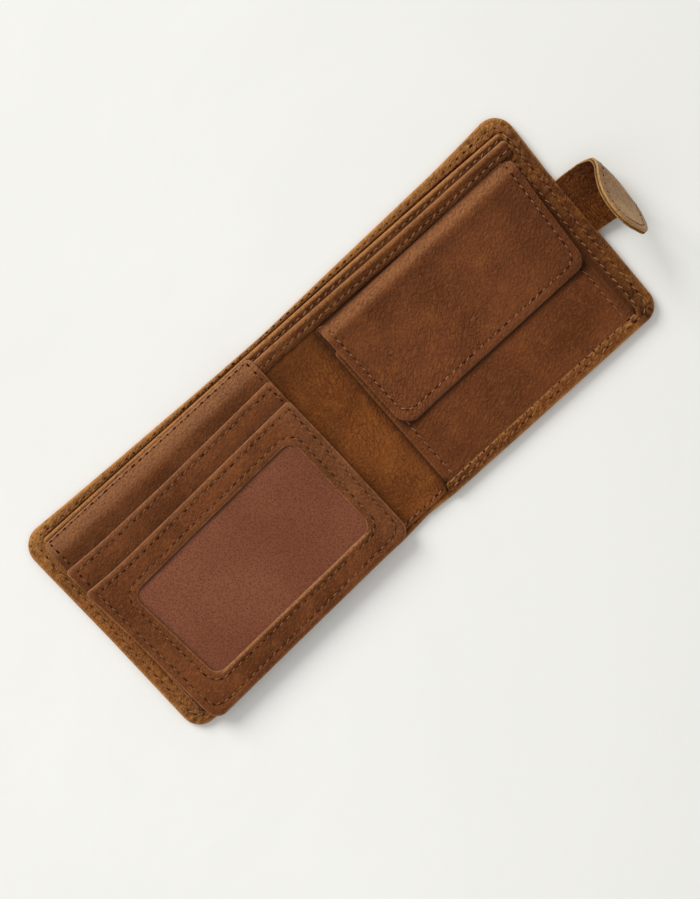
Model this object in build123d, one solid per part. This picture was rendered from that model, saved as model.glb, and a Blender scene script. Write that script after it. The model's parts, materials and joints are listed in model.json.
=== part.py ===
from build123d import *
import math
import os

# A two-cover leather wallet, lying open on its back. Inside the left cover a
# leaf with a window flips up about the top edge, which gives the wallet its
# third fold. Inside the right cover is a coin pocket with its own flap, and a
# magnetic tab at the right edge closes the wallet.
#
# Frame, in millimetres: the origin is the centre of the spine's underside,
# +X runs to the coin pocket's cover, +Y to the mouth of the note compartment,
# and +Z up, out of the open wallet.

# Shell
spine_width = 20.0
cover_length = 111.4
shell_height = 97.0
shell_corner_radius = 9.0
hem_width = 9.0
shell_leather = 0.9
hem_leather = 0.8
lining_cloth = 0.3

# Air left between pieces that move against each other
fold_gap = 0.3
lift_gap = 0.3

# Note divider and the panels sewn on it
divider_leather = 0.7
divider_side_margin = 3.0
divider_bottom_margin = 1.5
divider_top_margin = 5.5
panel_leather = 0.7
panel_side_margin = 8.0
panel_bottom_margin = 2.5
binding_leather = 0.7
binding_top_margin = 8.0
binding_width = 6.8

# Card slots of the left cover, under the leaf
card_backing_leather = 0.5
card_slot_leather = 0.4
card_slot_count = 3
card_slot_top_margin = 18.5
card_slot_step = 12.0
card_slot_inset = 1.0

# Leaf with the window
leaf_fold_margin = 6.5
leaf_near_margin = 0.4
leaf_far_margin = 6.0
leaf_length = 91.0
leaf_corner_radius = 6.0
leaf_back_leather = 0.6
leaf_slot_leather = 0.4
leaf_slot_top_margin = 18.5
window_film = 0.25
window_frame_leather = 0.6
window_frame_top_margin = 29.5
window_width = 84.0
window_height = 44.5
window_corner_radius = 4.5
window_far_border = 12.5
window_low_border = 11.0
window_seam = 3.0

# Coin pocket
coin_near_margin = 3.0
coin_length = 98.0
coin_back_leather = 0.7
coin_back_top_margin = 15.3
coin_front_leather = 0.6
coin_front_inset = 0.6
coin_front_top_margin = 26.5
coin_depth = 1.6
gusset_inset = 3.0
gusset_width = 4.0

# Flap of the coin pocket
flap_fold_margin = 17.1
flap_near_margin = 6.4
flap_fold_edge = 98.0
flap_free_edge = 93.4
flap_length = 49.2
flap_corner_radius = 6.0
flap_lining = 0.4
flap_leather = 0.8

# Strips that carry the two upper folds
fold_strip_width = 2.0

# Press stud of the coin pocket, hidden under the flap
stud_from_fold = 40.0
stud_post_radius = 1.6
stud_post_reach = 0.3
stud_base_radius = 4.5
stud_base_thickness = 0.6
stud_socket_radius = 5.0
stud_play = 0.3
set_in_clearance = 0.05

# Closing tab
tab_width = 25.0
tab_centre_y = 0.5
tab_leather = 0.8
tab_anchor_length = 15.0
strap_length = 15.2
strap_rise = 8.0
tip_length = 30.0
tip_bend = 102.0
tip_lean = 20.0
tip_corner_radius = 9.0
magnet_radius = 6.0
magnet_thickness = 0.6
magnet_from_bend = 17.0
plate_radius = 7.0
plate_from_edge = 17.0
plate_drop = 6.5

# Places that follow from those sizes. A top margin is measured from the shell's
# top edge, so the mouths and upper folds stay with it.
half_height = shell_height / 2
divider_top = half_height - divider_top_margin
binding_high = half_height - binding_top_margin
binding_low = binding_high - binding_width
card_slot_first_mouth = half_height - card_slot_top_margin
leaf_fold_y = half_height - leaf_fold_margin
leaf_slot_mouth = half_height - leaf_slot_top_margin
window_frame_mouth = half_height - window_frame_top_margin
coin_back_top = half_height - coin_back_top_margin
coin_front_mouth = half_height - coin_front_top_margin
flap_fold_y = half_height - flap_fold_margin
fold_x = spine_width / 2
shell_end = fold_x + cover_length
cover_start = fold_x + fold_gap / 2
spine_end = fold_x - fold_gap / 2
divider_low = divider_bottom_margin - half_height
panel_low = divider_low + panel_bottom_margin - divider_bottom_margin
panel_end = shell_end - panel_side_margin

hem_z = shell_leather
divider_z = hem_z + hem_leather
panel_z = divider_z + divider_leather
binding_z = panel_z + panel_leather
main_fold_z = binding_z + binding_leather

# The leaf's bead and the flap's bead are as thick as the leaf and the flap
card_slot_z = panel_z + card_backing_leather
leaf_z = card_slot_z + card_slot_count * card_slot_leather + lift_gap
leaf_slot_z = leaf_z + leaf_back_leather
film_z = leaf_slot_z + leaf_slot_leather
frame_z = film_z + window_film
leaf_top_z = frame_z + window_frame_leather
leaf_bead_radius = (leaf_top_z - leaf_z) / 2

gusset_z = binding_z + coin_back_leather
coin_front_z = gusset_z + coin_depth
flap_z = coin_front_z + coin_front_leather + lift_gap
flap_leather_z = flap_z + flap_lining
flap_bead_radius = (flap_lining + flap_leather) / 2

parts = {}


def slab(x_low, x_high, y_low, y_high, z_low, thickness):
    """A flat rectangular layer."""
    layer = Box(x_high - x_low, y_high - y_low, thickness)
    place = Pos((x_low + x_high) / 2, (y_low + y_high) / 2, z_low + thickness / 2)
    return place * layer


def side_slab(side, near, far, y_low, y_high, z_low, thickness):
    """A layer on the left (side -1) or right (side 1), from near to far of the centre."""
    x_low, x_high = sorted((side * near, side * far))
    return slab(x_low, x_high, y_low, y_high, z_low, thickness)


def round_side(solid, side, radius):
    """Rounds the two upright corners at the layer's left (-1) or right (1) end."""
    uprights = solid.edges().filter_by(Axis.Z).sort_by(Axis.X)
    corners = uprights[:2] if side < 0 else uprights[-2:]
    return fillet(corners, radius)


def round_low(solid, radius):
    """Rounds the two upright corners at the layer's low Y edge."""
    corners = solid.edges().filter_by(Axis.Z).sort_by(Axis.Y)[:2]
    return fillet(corners, radius)


def disc(x, y, radius, z_low, thickness):
    """A flat round layer."""
    return Pos(x, y, z_low + thickness / 2) * Cylinder(radius, thickness)


def bead(x_low, x_high, y, z, radius):
    """The round roll of leather on a fold line along X."""
    roll = Cylinder(radius, x_high - x_low)
    return Pos((x_low + x_high) / 2, y, z) * Rot(0, 90, 0) * roll


def cover_shell(side):
    """One cover's outer leather with its edge turned in as a hem on three sides."""
    plate = side_slab(side, cover_start, shell_end, -half_height, half_height, 0, shell_leather)
    turned = side_slab(side, cover_start, shell_end, -half_height, half_height, hem_z, hem_leather)
    inner = half_height - hem_width
    middle = side_slab(side, 0, shell_end - hem_width, -inner, inner, hem_z, hem_leather)
    plate = round_side(plate, side, shell_corner_radius)
    hem = round_side(turned, side, shell_corner_radius) - middle
    return plate, hem


def cover_lining(side):
    """The cloth inside the hem of one cover."""
    inner = half_height - hem_width
    return side_slab(side, cover_start, shell_end - hem_width, -inner, inner, hem_z, lining_cloth)


def note_divider(side):
    """The leather that closes the note compartment on one cover."""
    far = shell_end - divider_side_margin
    return side_slab(side, cover_start, far, divider_low, divider_top, divider_z, divider_leather)


def make_spine():
    """The outer leather, lining, divider, panel and binding between the two folds."""
    inner = half_height - hem_width
    outer = slab(-spine_end, spine_end, -half_height, half_height, 0, shell_leather)
    for end in (-1, 1):
        edge, hem_inner = sorted((end * half_height, end * inner))
        outer += slab(-spine_end, spine_end, edge, hem_inner, hem_z, hem_leather)
    parts["spine_leather"] = outer
    parts["spine_lining"] = slab(-spine_end, spine_end, -inner, inner, hem_z, lining_cloth)
    parts["spine_note_divider"] = slab(
        -spine_end, spine_end, divider_low, divider_top, divider_z, divider_leather
    )
    parts["spine_panel"] = slab(
        -spine_end, spine_end, panel_low, binding_high, panel_z, panel_leather
    )
    parts["spine_binding"] = slab(
        -spine_end, spine_end, binding_low, binding_high, binding_z, binding_leather
    )


def make_left_cover():
    """Shell, lining, divider, card slots and the hidden steel plate."""
    plate, hem = cover_shell(-1)
    parts["left_cover_leather"] = plate + hem
    plate_x = plate_from_edge - shell_end
    plate_y = tab_centre_y - plate_drop
    seat = disc(plate_x, plate_y, plate_radius + set_in_clearance, hem_z, lining_cloth)
    parts["left_cover_lining"] = cover_lining(-1) - seat
    parts["closure_plate"] = disc(plate_x, plate_y, plate_radius, hem_z, lining_cloth)
    parts["left_note_divider"] = note_divider(-1)

    strip_low = leaf_fold_y - fold_strip_width / 2
    strip_high = leaf_fold_y + fold_strip_width / 2
    parts["left_card_backing"] = side_slab(
        -1, cover_start, panel_end, panel_low, strip_low, panel_z, card_backing_leather
    )
    for number in range(1, card_slot_count + 1):
        mouth = card_slot_first_mouth - (number - 1) * card_slot_step
        level = card_slot_z + (number - 1) * card_slot_leather
        parts[f"left_card_slot_{number}"] = side_slab(
            -1, cover_start + card_slot_inset, panel_end - card_slot_inset,
            panel_low + card_slot_inset, mouth, level, card_slot_leather
        )
    parts["leaf_fold_strip"] = side_slab(
        -1, fold_x + leaf_near_margin, panel_end, strip_low, strip_high,
        panel_z, leaf_z - lift_gap - panel_z
    )


def make_leaf():
    """Back with its rolled top edge, card slot panel, window film and window frame."""
    near = fold_x + leaf_near_margin
    far = shell_end - leaf_far_margin
    low = leaf_fold_y - leaf_length

    back = side_slab(-1, near, far, low, leaf_fold_y, leaf_z, leaf_back_leather)
    back = round_low(back, leaf_corner_radius)
    roll = bead(-far, -near, leaf_fold_y, leaf_z + leaf_bead_radius, leaf_bead_radius)
    parts["leaf_back"] = back + roll

    slot_panel = side_slab(-1, near, far, low, leaf_slot_mouth, leaf_slot_z, leaf_slot_leather)
    parts["leaf_slot_panel"] = round_low(slot_panel, leaf_corner_radius)

    window_x = window_far_border - far + window_width / 2
    window_y = low + window_low_border + window_height / 2
    film = Box(window_width + 2 * window_seam, window_height + 2 * window_seam, window_film)
    parts["leaf_window_film"] = Pos(window_x, window_y, film_z + window_film / 2) * film

    frame = side_slab(-1, near, far, low, window_frame_mouth, frame_z, window_frame_leather)
    frame = round_low(frame, leaf_corner_radius)
    opening = Box(window_width, window_height, window_frame_leather)
    opening = fillet(opening.edges().filter_by(Axis.Z), window_corner_radius)
    middle_z = frame_z + window_frame_leather / 2
    parts["leaf_window_frame"] = frame - Pos(window_x, window_y, middle_z) * opening


def make_right_cover():
    """Shell, lining, divider, card panel, binding and the part of the tab sewn in."""
    plate, hem = cover_shell(1)
    anchor_low = tab_centre_y - tab_width / 2
    anchor_high = tab_centre_y + tab_width / 2
    anchor_start = shell_end - tab_anchor_length
    anchor = slab(anchor_start, shell_end, anchor_low, anchor_high, hem_z, hem_leather)
    parts["tab_anchor"] = anchor
    parts["right_cover_leather"] = plate + (hem - anchor)
    parts["right_cover_lining"] = cover_lining(1) - anchor
    parts["right_note_divider"] = note_divider(1)
    parts["right_card_panel"] = side_slab(
        1, cover_start, panel_end, panel_low, binding_high, panel_z, panel_leather
    )
    parts["right_binding"] = side_slab(
        1, cover_start, panel_end, binding_low, binding_high, binding_z, binding_leather
    )


def make_coin_pocket():
    """Back, gusset and front of the pocket, and the lower half of its press stud."""
    near = fold_x + coin_near_margin
    far = near + coin_length
    back = slab(near, far, panel_low, coin_back_top, binding_z, coin_back_leather)
    parts["coin_pocket_back"] = back

    left, right = near + gusset_inset, far - gusset_inset
    low = panel_low + gusset_inset
    outside = slab(left, right, low, coin_front_mouth, gusset_z, coin_depth)
    hollow = slab(
        left + gusset_width, right - gusset_width, low + gusset_width,
        coin_front_mouth, gusset_z, coin_depth
    )
    parts["coin_pocket_gusset"] = outside - hollow

    stud_x = fold_x + flap_near_margin + flap_fold_edge / 2
    stud_y = flap_fold_y - stud_from_fold
    stem_hole = stud_post_radius + set_in_clearance
    front = slab(
        near + coin_front_inset, far - coin_front_inset, panel_low,
        coin_front_mouth, coin_front_z, coin_front_leather
    )
    front -= disc(stud_x, stud_y, stem_hole, coin_front_z, coin_front_leather)
    parts["coin_pocket_front"] = front

    base_z = coin_front_z - stud_base_thickness
    post = disc(stud_x, stud_y, stud_base_radius, base_z, stud_base_thickness)
    post_height = coin_front_leather + lift_gap + stud_post_reach
    post += disc(stud_x, stud_y, stud_post_radius, coin_front_z, post_height)
    parts["coin_stud_post"] = post

    parts["coin_flap_fold_strip"] = slab(
        fold_x + flap_near_margin, min(far, fold_x + flap_near_margin + flap_fold_edge),
        flap_fold_y - fold_strip_width / 2, flap_fold_y + fold_strip_width / 2,
        gusset_z, flap_z - lift_gap - gusset_z
    )


def make_coin_flap():
    """The tapered flap in two layers, with the socket of the press stud."""
    near = fold_x + flap_near_margin
    low = flap_fold_y - flap_length
    outline = Polyline(
        (near, flap_fold_y), (near + flap_fold_edge, flap_fold_y),
        (near + flap_free_edge, low), (near, low), close=True
    )
    face = make_face(outline)
    face = fillet(face.vertices().sort_by(Axis.Y)[:2], flap_corner_radius)

    stud_x = near + flap_fold_edge / 2
    stud_y = flap_fold_y - stud_from_fold
    lining = Pos(0, 0, flap_z) * extrude(face, flap_lining)
    # The lining stops short of the bead, which is the outer leather rolled over
    lining -= slab(
        near, near + flap_fold_edge, flap_fold_y - flap_bead_radius - set_in_clearance,
        flap_fold_y, flap_z, flap_lining
    )
    socket_hole = stud_socket_radius + set_in_clearance
    parts["coin_flap_lining"] = lining - disc(stud_x, stud_y, socket_hole, flap_z, flap_lining)

    socket = disc(stud_x, stud_y, stud_socket_radius, flap_z, flap_lining)
    post_hole = stud_post_radius + stud_play
    parts["coin_stud_socket"] = socket - disc(stud_x, stud_y, post_hole, flap_z, flap_lining)

    leather = Pos(0, 0, flap_leather_z) * extrude(face, flap_leather)
    fold_z = flap_z + flap_bead_radius
    roll = bead(near, near + flap_fold_edge, flap_fold_y, fold_z, flap_bead_radius)
    parts["coin_flap_leather"] = leather + roll


def make_tab():
    """The strap outside the shell and the bent-up tip, each of two leathers."""
    fold = Pos(shell_end + fold_gap + tab_leather, tab_centre_y, hem_z + hem_leather / 2)
    strap_place = fold * Rot(0, -strap_rise, 0)
    tip_place = strap_place * Pos(strap_length, 0, 0) * Rot(0, -tip_bend, 0)

    half_width = tab_width / 2
    strap_reach = strap_length - tab_leather - fold_gap
    outer = slab(0, strap_reach, -half_width, half_width, -tab_leather, tab_leather)
    outer += Rot(90, 0, 0) * Cylinder(tab_leather, tab_width)
    parts["tab_strap_outer"] = strap_place * outer
    inner_start = tab_leather + set_in_clearance
    inner = slab(inner_start, strap_reach, -half_width, half_width, 0, tab_leather)
    parts["tab_strap_inner"] = strap_place * inner

    # The tip leans towards -Y as it leaves the bend
    shift = math.tan(math.radians(tip_lean)) * tip_length
    outline = Polyline(
        (0, -half_width), (tip_length, -half_width - shift),
        (tip_length, half_width - shift), (0, half_width), close=True
    )
    face = make_face(outline)
    face = fillet(face.vertices().sort_by(Axis.X)[-2:], tip_corner_radius)
    tip_outer = Pos(0, 0, -tab_leather) * extrude(face, tab_leather)
    tip_outer += Rot(90, 0, 0) * Cylinder(tab_leather, tab_width)
    parts["tab_tip_outer"] = tip_place * tip_outer

    tip_inner = extrude(face, tab_leather) - slab(
        0, inner_start, -tab_width, tab_width, 0, tab_leather
    )
    magnet_y = -math.tan(math.radians(tip_lean)) * magnet_from_bend
    seat = disc(magnet_from_bend, magnet_y, magnet_radius + set_in_clearance, 0, magnet_thickness)
    parts["tab_tip_inner"] = tip_place * (tip_inner - seat)
    magnet = disc(magnet_from_bend, magnet_y, magnet_radius, 0, magnet_thickness)
    parts["closure_magnet"] = tip_place * magnet
    return strap_place.position, tip_place.position


make_spine()
make_left_cover()
make_leaf()
make_right_cover()
make_coin_pocket()
make_coin_flap()
tab_fold_at, tip_bend_at = make_tab()

for name, shape in parts.items():
    export_step(shape, f"parts/{name}.step")

# The fold lines, for whoever sets up the joints
print("covers fold at x", -fold_x, fold_x, "z", round(main_fold_z, 3))
print("leaf folds at y", leaf_fold_y, "z", round(leaf_z + leaf_bead_radius, 3))
print("coin flap folds at y", flap_fold_y, "z", round(flap_z + flap_bead_radius, 3))
print("tab folds at", tab_fold_at)
print("tab tip bends at", tip_bend_at)
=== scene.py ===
import json
import math

import bpy
import numpy as np
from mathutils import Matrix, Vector, noise
from mathutils.geometry import delaunay_2d_cdt


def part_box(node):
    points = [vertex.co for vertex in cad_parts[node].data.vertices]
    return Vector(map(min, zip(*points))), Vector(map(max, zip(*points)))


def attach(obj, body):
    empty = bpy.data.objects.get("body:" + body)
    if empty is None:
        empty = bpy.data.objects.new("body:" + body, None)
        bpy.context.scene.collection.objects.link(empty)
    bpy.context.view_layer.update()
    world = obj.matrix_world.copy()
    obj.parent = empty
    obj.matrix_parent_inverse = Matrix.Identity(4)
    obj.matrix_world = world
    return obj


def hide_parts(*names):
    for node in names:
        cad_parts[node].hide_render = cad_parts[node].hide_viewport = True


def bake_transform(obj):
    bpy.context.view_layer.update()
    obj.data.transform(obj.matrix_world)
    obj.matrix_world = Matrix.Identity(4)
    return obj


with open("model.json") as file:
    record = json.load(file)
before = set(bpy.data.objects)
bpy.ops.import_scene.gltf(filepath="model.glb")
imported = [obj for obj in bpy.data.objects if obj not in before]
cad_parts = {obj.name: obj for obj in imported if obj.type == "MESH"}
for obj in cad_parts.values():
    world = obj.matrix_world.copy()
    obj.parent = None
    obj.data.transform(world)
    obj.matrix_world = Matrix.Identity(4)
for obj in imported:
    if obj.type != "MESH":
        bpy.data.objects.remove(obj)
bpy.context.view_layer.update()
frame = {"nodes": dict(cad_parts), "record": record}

# A leather wallet lying open. Lengths in this script are millimetres in the
# model's own frame (x along the open wallet, y to the note compartment's mouth,
# z up), and MM turns them into Blender's metres where a mesh is made.

MM = 0.001


def low(node):
    """The node's lowest corner at rest, in millimetres."""
    return np.array(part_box(node)[0]) / MM


def high(node):
    """The node's highest corner at rest, in millimetres."""
    return np.array(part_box(node)[1]) / MM


def joint_at(name):
    """Where a joint's axis runs, in millimetres."""
    found = [j for j in frame["record"]["behaviour"]["joints"] if j["name"] == name]
    return np.array(found[0]["pos_m"]) / MM


# ---------------------------------------------------------------- places

LEFT_FOLD_X = joint_at("left_fold")[0]
RIGHT_FOLD_X = joint_at("right_fold")[0]

SHELL_Z = low("left_cover_lining")[2]
HEM_Z = low("left_note_divider")[2]
DIVIDER_Z = high("left_note_divider")[2]
PANEL_Z = high("right_card_panel")[2]
BINDING_Z = high("right_binding")[2]
CARD_BACKING_Z = high("left_card_backing")[2]
LEAF_Z = low("leaf_back")[2]
FLAP_Z = low("coin_flap_lining")[2]
FLAP_TOP_Z = high("coin_flap_leather")[2]
COIN_BACK_Z = high("coin_pocket_back")[2]

# How far the shell's underside is pulled in along its stitching
SEAM_PULL = 0.24
# How far the wallet is turned in the camera's view, in degrees
VIEW_TURN = 42.52


# ---------------------------------------------------------------- small maths

SQUARE = ((-1, -1), (1, -1), (1, 1), (-1, 1))


def smooth(lo, hi, v):
    """0 below lo, 1 above hi and a smooth step between."""
    t = np.clip((np.asarray(v, float) - lo) / (hi - lo), 0, 1)
    return t * t * (3 - 2 * t)


def lump(x, y, size, seed):
    """Soft noise from about -1 to 1 with bumps of the given size, one value a point."""
    x = np.atleast_1d(x)
    y = np.atleast_1d(y)
    values = [noise.noise(Vector((a / size, b / size, seed))) for a, b in zip(x, y)]
    return np.array(values)


def distance(points, lines):
    """Distance from each point to the nearest of the lines."""
    best = np.full(len(points), 1e9)
    for line in lines:
        a = line[:-1]
        d = line[1:] - a
        length = np.maximum((d * d).sum(1), 1e-12)
        for start in range(0, len(points), 2000):
            p = points[start:start + 2000, None, :]
            t = np.clip(((p - a) * d).sum(2) / length, 0, 1)
            gap = p - (a + t[..., None] * d)
            near = np.sqrt((gap * gap).sum(2)).min(1)
            part = best[start:start + 2000]
            best[start:start + 2000] = np.minimum(part, near)
    return best


def inside(points, loop):
    """Which points lie inside a closed loop."""
    result = np.zeros(len(points), bool)
    a = loop
    b = np.roll(loop, -1, axis=0)
    for (x0, y0), (x1, y1) in zip(a, b):
        if y0 == y1:
            continue
        crosses = (points[:, 1] > min(y0, y1)) & (points[:, 1] <= max(y0, y1))
        at = x0 + (points[:, 1] - y0) * (x1 - x0) / (y1 - y0)
        result ^= crosses & (points[:, 0] < at)
    return result


def closed(loop):
    """The loop with its first point again at the end."""
    return np.vstack([loop, loop[:1]])


def resample(line, step):
    """The line's points again, evenly spaced about one step apart."""
    line = np.asarray(line, float)
    lengths = np.sqrt(((line[1:] - line[:-1]) ** 2).sum(1))
    along = np.concatenate([[0], np.cumsum(lengths)])
    count = max(2, int(round(along[-1] / step)) + 1)
    at = np.linspace(0, along[-1], count)
    return np.stack([np.interp(at, along, line[:, k]) for k in range(2)], 1)


def rounded(corners, radii, step=1.6):
    """A closed outline through the corners, each rounded by its radius."""
    corners = [np.array(c, float) for c in corners]
    points = []
    count = len(corners)
    for i, corner in enumerate(corners):
        before = corners[i - 1] - corner
        after = corners[(i + 1) % count] - corner
        before /= np.linalg.norm(before)
        after /= np.linalg.norm(after)
        half = math.acos(np.clip(before @ after, -1, 1)) / 2
        radius = radii[i]
        if radius == 0 or half > math.pi / 2 - 1e-3:
            points.append(corner)
            continue
        reach = radius / math.tan(half)
        middle = before + after
        centre = corner + middle / np.linalg.norm(middle) * radius / math.sin(half)
        first = corner + before * reach - centre
        last = corner + after * reach - centre
        turn = math.atan2(first[0] * last[1] - first[1] * last[0], first @ last)
        pieces = max(2, int(abs(turn) * radius / (0.5 * step)) + 1)
        for k in range(pieces + 1):
            angle = turn * k / pieces
            c, s = math.cos(angle), math.sin(angle)
            arm = (c * first[0] - s * first[1], s * first[0] + c * first[1])
            points.append(centre + np.array(arm))
    dense = []
    for p, q in zip(points, points[1:] + points[:1]):
        gap = np.linalg.norm(q - p)
        parts = max(1, int(round(gap / step)))
        dense += [p + (q - p) * k / parts for k in range(parts)]
    return np.array(dense)


def inset(loop, depth):
    """The loop moved inwards by depth, without the points that would cross over."""
    ahead = np.roll(loop, -1, axis=0) - np.roll(loop, 1, axis=0)
    ahead /= np.linalg.norm(ahead, axis=1)[:, None]
    moved = loop + depth * np.stack([-ahead[:, 1], ahead[:, 0]], 1)
    return moved[distance(moved, [closed(loop)]) > depth * 0.98 - 1e-6]


def thinned(points, gap):
    """The points without those that come closer than the gap to an earlier one."""
    keep = []
    taken = {}
    for p in points:
        i, j = int(p[0] // 0.5), int(p[1] // 0.5)
        near = [q for a in (i - 1, i, i + 1) for b in (j - 1, j, j + 1) for q in taken.get((a, b), ())]
        if all((p[0] - q[0]) ** 2 + (p[1] - q[1]) ** 2 >= gap ** 2 for q in near):
            taken.setdefault((i, j), []).append(p)
            keep.append(p)
    return np.array(keep)


# ---------------------------------------------------------------- leather panels

# Points nearer to an outline than this are its own
RIM = 1e-3
# How far inside its edges a panel has rings of points, close together where the edge rolls over
RING_DEPTHS = (0.0585, 0.225, 0.45, 1.0, 1.5, 2.2)


class Panel:
    """A leather layer: an outline filled with a fine mesh, rolled at its edges."""

    def __init__(self, outline, bottom, top, holes=(), seams=(), relief=None, roll=None,
                 spacing=2.4, lumps=0.07, seed=1.0, ridge=0.12, extra=(), cut=None, shade=None, wear_and_lighting=None):
        self.outline = np.asarray(outline, float)
        self.holes = [np.asarray(h, float) for h in holes]
        self.loops = [closed(h) for h in [self.outline] + self.holes]
        self.cut = cut
        self.shade = shade
        self.wear_and_lighting = wear_and_lighting
        if cut is not None:
            # Along the cut the layer goes on into its other half, so that side isn't an edge
            at_cut = np.abs(self.outline[:, 0] - cut) < 1e-6
            first = [k for k in range(len(at_cut)) if at_cut[k] and not at_cut[k - 1]][0]
            turned = np.roll(self.outline, -first, axis=0)
            last = np.roll(at_cut, -first).sum() - 1
            self.loops[0] = np.vstack([turned[last:], turned[:1]])
        self.seams = [np.asarray(s, float) for s in seams]
        self.bottom = bottom
        self.top = top
        self.relief = relief
        self.roll = roll
        self.spacing = spacing
        self.lumps = lumps
        self.seed = seed
        self.ridge = ridge
        self.extra = extra

    def levels(self, p):
        """Bottom and top height at each point, with its distances to edge and seam."""
        x, y = p[:, 0], p[:, 1]
        edge = distance(p, self.loops)
        seam = distance(p, self.seams) if self.seams else np.full(len(p), 99.0)
        base = self.bottom(x, y) if callable(self.bottom) else np.full(len(p), self.bottom)
        face = self.top(x, y) if callable(self.top) else np.full(len(p), self.top)
        half = (face - base) / 2
        roll = half if self.roll is None else self.roll
        shape = np.sqrt(np.clip(1 - (1 - np.clip(edge / roll, 0, 1)) ** 2, 0, 1))
        extra = self.lumps * lump(x, y, 11.0, self.seed) + 0.4 * self.lumps * lump(x, y, 4.0, self.seed + 7)
        extra += self.ridge * np.exp(-((edge - 1.5) / 0.9) ** 2)
        extra -= 0.20 * np.exp(-(seam / 0.55) ** 2)
        if self.relief:
            extra += self.relief(x, y, edge)
        top = base + half + half * shape + extra * shape
        return base + half - half * shape, top, edge, seam

    def surface(self, p):
        """The height of the upper face at each point."""
        return self.levels(p)[1]

    def points(self):
        """Boundary points first, then rings, seam rows and a grid, thinned out."""
        fixed = [self.outline] + self.holes
        # A hole runs clockwise, so that inwards is into the leather
        rings = [inset(loop, depth) for loop in fixed for depth in RING_DEPTHS]
        rows = []
        for seam in self.seams:
            line = resample(seam, 1.8)
            ahead = np.gradient(line, axis=0)
            ahead /= np.linalg.norm(ahead, axis=1)[:, None]
            side = np.stack([-ahead[:, 1], ahead[:, 0]], 1)
            rows += [line + side * off for off in (0, -0.5, 0.5, -1.1, 1.1)]
        lo, hi = self.outline.min(0), self.outline.max(0)
        gx, gy = np.meshgrid(np.arange(lo[0], hi[0], self.spacing), np.arange(lo[1], hi[1], self.spacing))
        gx = gx + (np.arange(gx.shape[0]) % 2)[:, None] * self.spacing / 2
        grid = np.stack([gx.ravel(), gy.ravel()], 1)
        sets = rings + [np.asarray(e, float) for e in self.extra] + rows
        inner = np.vstack(sets)
        inner = inner[self.within(inner, 0.02)]
        grid = grid[self.within(grid, 1.2)]
        return fixed, thinned(np.vstack([inner, grid]), 0.16)

    def within(self, p, margin):
        """Which points lie in the leather, clear of its edges by the margin."""
        ok = inside(p, self.outline) & (distance(p, self.loops) > margin)
        for hole in self.holes:
            ok &= ~inside(p, hole)
        return ok

    def flat_mesh(self):
        """The points and triangles that fill the outline, all triangles turned the same way."""
        fixed, inner = self.points()
        flat = [Vector(p) for loop in fixed for p in loop] + [Vector(p) for p in inner]
        edges = []
        start = 0
        for loop in fixed:
            count = len(loop)
            edges += [(start + k, start + (k + 1) % count) for k in range(count)]
            start += count
        verts, _, faces, _, _, _ = delaunay_2d_cdt(flat, edges, [], 0, 1e-5)
        p = np.array([tuple(v) for v in verts])
        tris = np.array([f for f in faces])
        middle = p[tris].mean(1)
        keep = inside(middle, self.outline)
        for hole in self.holes:
            keep &= ~inside(middle, hole)
        # A sliver with all its corners on the edge would have the same face above and below
        on_edge = distance(p, self.loops) < RIM
        tris = tris[keep & ~on_edge[tris].all(1)]
        a, b, c = p[tris[:, 0]], p[tris[:, 1]], p[tris[:, 2]]
        turned = (b[:, 0] - a[:, 0]) * (c[:, 1] - a[:, 1]) - (b[:, 1] - a[:, 1]) * (c[:, 0] - a[:, 0]) < 0
        tris[turned] = tris[turned][:, ::-1]
        used = np.unique(tris)
        renumber = np.full(len(p), -1)
        renumber[used] = np.arange(len(used))
        return p[used], renumber[tris]

    def cut_walls(self, p, lower):
        """The faces that close the layer along its cut, from the upper points to the lower ones."""
        if self.cut is None:
            return []
        on_cut = np.nonzero(np.abs(p[:, 0] - self.cut) < 1e-6)[0]
        on_cut = on_cut[np.argsort(p[on_cut, 1])]
        if p[:, 0].mean() > self.cut:
            on_cut = on_cut[::-1]
        walls = [(lower[i], lower[j], j, i) for i, j in zip(on_cut[:-1], on_cut[1:])]
        # At both ends upper and lower points are the same, and count once
        return [[v for k, v in enumerate(wall) if v not in wall[:k]] for wall in walls]

    def build(self, name, material, under=None, place=None):
        """The closed mesh, with how far each point is from an edge and a seam."""
        p, tris = self.flat_mesh()
        base, top, edge, seam = self.levels(p)
        rim = edge < RIM
        lower = np.arange(len(p))
        lower[~rim] = len(p) + np.arange((~rim).sum())
        co = np.vstack([np.column_stack([p, top]), np.column_stack([p[~rim], base[~rim]])])
        faces = [*tris, *lower[tris][:, ::-1], *self.cut_walls(p, lower)]
        obj = make_mesh(name, co, faces, material, place)
        for poly in obj.data.polygons[2 * len(tris):]:
            poly.use_smooth = False
        edge_all = np.concatenate([edge, edge[~rim]])
        seam_all = np.concatenate([seam, np.full((~rim).sum(), 99.0)])
        set_attribute(obj, "edge", edge_all)
        set_attribute(obj, "seam", seam_all)
        for kind, values in (("shade", self.shade), ("wear_and_lighting", self.wear_and_lighting)):
            if values:
                values = np.clip(values(p[:, 0], p[:, 1]), 0, 1)
                set_attribute(obj, kind, np.concatenate([values, np.zeros((~rim).sum())]))
        if under:
            obj.data.materials.append(under)
            for poly in obj.data.polygons[len(tris):]:
                poly.material_index = 1
        return obj


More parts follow.
